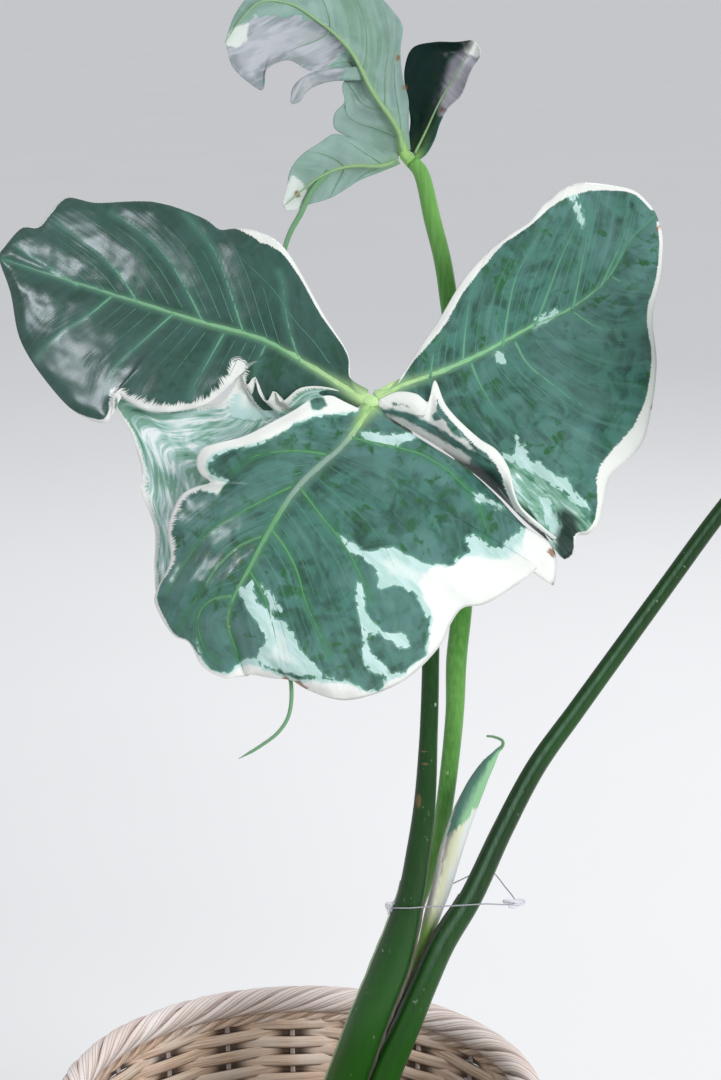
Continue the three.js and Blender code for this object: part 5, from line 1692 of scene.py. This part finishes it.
SOIL_RADIUS = 91.6
SOIL_FOOT_RADIUS = 71.5
SOIL_FOOT = 11.8
SOIL_LEVEL = 126.5
SOIL_HEAP = 4.0
SOIL_RINGS = 64
SOIL_SIDES = 180
CRUMB, CHIP, PERLITE = 0.3, 1.0, 2.0
LOOSE_PIECES = (
    (620, CRUMB, 0.7, 2.2, (1, 1, 0.8)),
    (46, CHIP, 2.5, 5.5, (1, 0.5, 0.3)),
    (60, PERLITE, 0.8, 1.9, (1, 0.9, 0.8)),
)


def soil_height(x, y):
    places = stacked(x, y, 0.0)
    share = np.hypot(x, y) / SOIL_RADIUS
    lumps = 1.5 * roughness_at(places, 16.0, 3) + 0.7 * roughness_at(places, 4.0, 2)
    return SOIL_LEVEL + SOIL_HEAP * (1 - share) + lumps * step(share, 1.02, 0.9)


def add_soil_body(shape):
    share = np.linspace(0.005, 1, SOIL_RINGS)[::-1, None]
    angle = around(SOIL_SIDES)
    x, y = share * SOIL_RADIUS * np.cos(angle), share * SOIL_RADIUS * np.sin(angle)
    top = np.stack([x, y, soil_height(x, y)], -1)
    foot = ring_path(angle, SOIL_FOOT_RADIUS, SOIL_FOOT)[None]
    shape.add(np.concatenate([foot, top]), ring_faces(SOIL_RINGS + 1, SOIL_SIDES), kind=0.0)


def add_lump(shape, centre, size, squash, kind):
    """A lump with rough facets, turned at random."""
    rings, sides = 5, 7
    polar = np.linspace(0.25, math.pi - 0.25, rings)[:, None]
    angle = around(sides) + random.random()
    ball = stacked(np.sin(polar) * np.cos(angle), np.sin(polar) * np.sin(angle), np.cos(polar))
    ball = ball * (1 + 0.28 * random.standard_normal((rings, sides, 1)).clip(-1, 1)) * size * np.array(squash)
    turn = Vector(random.standard_normal(3)).to_track_quat("Z", "Y").to_matrix()
    shape.add(ball @ np.array(turn) + centre, ring_faces(rings, sides), kind=kind)


def scatter(shape, count, kind, smallest, largest, squash):
    """Lumps that lie anywhere on the soil, smaller ones more often, and none past its edge."""
    for _ in range(count):
        distance = SOIL_RADIUS * 0.96 * math.sqrt(0.06 + 0.94 * random.random())
        angle = TAU * random.random()
        x, y = distance * math.cos(angle), distance * math.sin(angle)
        size = smallest + (largest - smallest) * random.random() ** 2
        size = min(size, max(0.7, SOIL_RADIUS - distance))
        add_lump(shape, np.array([x, y, float(soil_height(x, y)) + 0.25 * size]), size, squash, kind)


def soil_paint():
    paint = Paint("potting_soil_skin", Specular_IOR_Level=0.2)
    kind = paint.field("kind")
    grit = paint.noise(700, 5)
    skin = paint.over((0.012, 0.008, 0.005), (0.07, 0.045, 0.028), grit, 0.3, 0.7)
    skin = paint.over(skin, (0.1, 0.06, 0.035), paint.noise(90, 3), 0.5, 0.75, 0.6)
    skin = paint.over(skin, paint.mix(grit, (0.1, 0.045, 0.02), (0.3, 0.16, 0.08)), kind, 0.6, 0.9)
    skin = paint.over(skin, paint.mix(grit, (0.6, 0.58, 0.54), (0.85, 0.84, 0.8)), kind, 1.6, 1.9)
    return paint.finish(skin, 0.92, grit, 0.0012, 0.8)


soil = Shape()
add_soil_body(soil)
for loose in LOOSE_PIECES:
    scatter(soil, *loose)
soil.make("soil_bed", soil_paint(), ("soil",))

# Crown

CROWN_RADIUS = 26.0
CROWN_BOTTOM = 86.0
CROWN_TOP = 140.0
CROWN_SCARS = 6
CROWN_RINGS = 90
CROWN_SIDES = 72
CROWN_AXIS = (1.0, 1.0, 0.0)
CROWN_CAP = ((0.8, 0.0), (0.4, -0.8), (0.02, -1.0))


def add_crown(shape):
    """A swollen stem with sunken rings, closed at the top by a shallow cap."""
    t = np.linspace(0, 1, CROWN_RINGS)[:, None]
    angle = around(CROWN_SIDES)
    scar = np.exp(-((t * CROWN_SCARS + 0.12 * np.sin(angle + 2)) % 1 - 0.5) ** 2 / 0.012)
    swell = np.sin(math.pi * (0.15 + 0.5 * t)) ** 0.6
    ridges = 0.5 * np.sin(14 * angle + 3 * np.sin(5 * t)) * step(t, 0, 0.2)
    radius = CROWN_RADIUS * swell - 0.9 * scar + ridges
    height = CROWN_BOTTOM + (CROWN_TOP - CROWN_BOTTOM) * t + 0 * angle
    inward, sunk = np.array(CROWN_CAP).T[:, :, None]
    radius = np.concatenate([radius, radius[-1] * inward])
    height = np.concatenate([height, CROWN_TOP + sunk + 0 * angle])
    share = np.concatenate([t, np.ones((len(CROWN_CAP), 1))])
    scar = np.concatenate([scar, np.zeros((len(CROWN_CAP), CROWN_SIDES))])
    shape.add(ring_path(angle, radius, height) + np.array(CROWN_AXIS), ring_faces(*radius.shape),
              share=np.repeat(share, CROWN_SIDES), scar=scar)


def crown_paint():
    paint = Paint("plant_crown_skin", Specular_IOR_Level=0.35)
    share, scar = paint.fields("share scar")
    fibre = paint.noise(500, 5, paint.stretched(1, 1, 0.15))
    skin = paint.over((0.07, 0.06, 0.025), (0.2, 0.2, 0.08), fibre, 0.3, 0.7)
    skin = paint.over(skin, (0.12, 0.24, 0.05), share, 0.75, 1.0, 0.8)
    skin = paint.over(skin, (0.11, 0.06, 0.03), scar, 0.3, 0.9, 0.8)
    return paint.finish(skin, 0.6, fibre, 0.0008, 0.6)


crown = Shape()
add_crown(crown)
crown.make("crown_stem", crown_paint(), ("crown",))

# Camera, light and floor

FLOOR_REACH = 60
MIDDLE = (0.05, 0.0, 0.55)
SKY_COLOUR = (0.94, 0.96, 1.0, 1)
SKY_STRENGTH = 0.65


def add_camera():
    made = bpy.data.cameras.new("viewer")
    made.lens = LENS_MM
    made.sensor_width = SENSOR_MM
    made.clip_end = 200
    viewer = add_object("viewer", made)
    viewer.location = EYE / 1000
    viewer.rotation_euler = (math.pi / 2 - SHEET_TILT, 0, 0)
    bpy.context.scene.camera = viewer


def add_light(name, place, size, power, tint=(1, 1, 1), lights=True, mirrored=True):
    """A round lamp that faces the plant. It may be left out of the lighting or of the reflections."""
    lamp = bpy.data.lights.new(name, "AREA")
    lamp.shape = "DISK"
    lamp.size = size
    lamp.energy = power
    lamp.color = tint
    lit = add_object(name, lamp)
    lit.visible_diffuse = lights
    lit.visible_glossy = mirrored
    lit.location = place
    lit.rotation_euler = (Vector(MIDDLE) - Vector(place)).to_track_quat("-Z", "Y").to_euler()


def add_floor():
    paint = Paint("studio_floor")
    skin = paint.finish(paint.mix(paint.noise(3, 2), (0.88, 0.88, 0.88), (0.91, 0.91, 0.91)), 0.8)
    mesh = bpy.data.meshes.new("studio_floor")
    corners = [(x * FLOOR_REACH, y * FLOOR_REACH, 0) for x, y in ((-1, -1), (1, -1), (1, 1), (-1, 1))]
    mesh.from_pydata(corners, [], [(0, 1, 2, 3)])
    mesh.materials.append(skin)
    add_object("studio_floor", mesh)


def add_sky():
    world = bpy.data.worlds.new("studio")
    world.use_nodes = True
    background = world.node_tree.nodes["Background"].inputs
    background["Color"].default_value = SKY_COLOUR
    background["Strength"].default_value = SKY_STRENGTH
    bpy.context.scene.world = world


bpy.context.scene.view_settings.view_transform = "Standard"
add_camera()
add_sky()
add_floor()
add_light("key", (1.4, -1.6, 1.5), size=1.0, power=33, mirrored=False)
add_light("glance", (-1.6, -0.66, 1.7), size=0.5, power=21, tint=(0.88, 0.9, 1.0), lights=False)
add_light("back", (0.6, 1.8, 1.9), size=1.0, power=14)
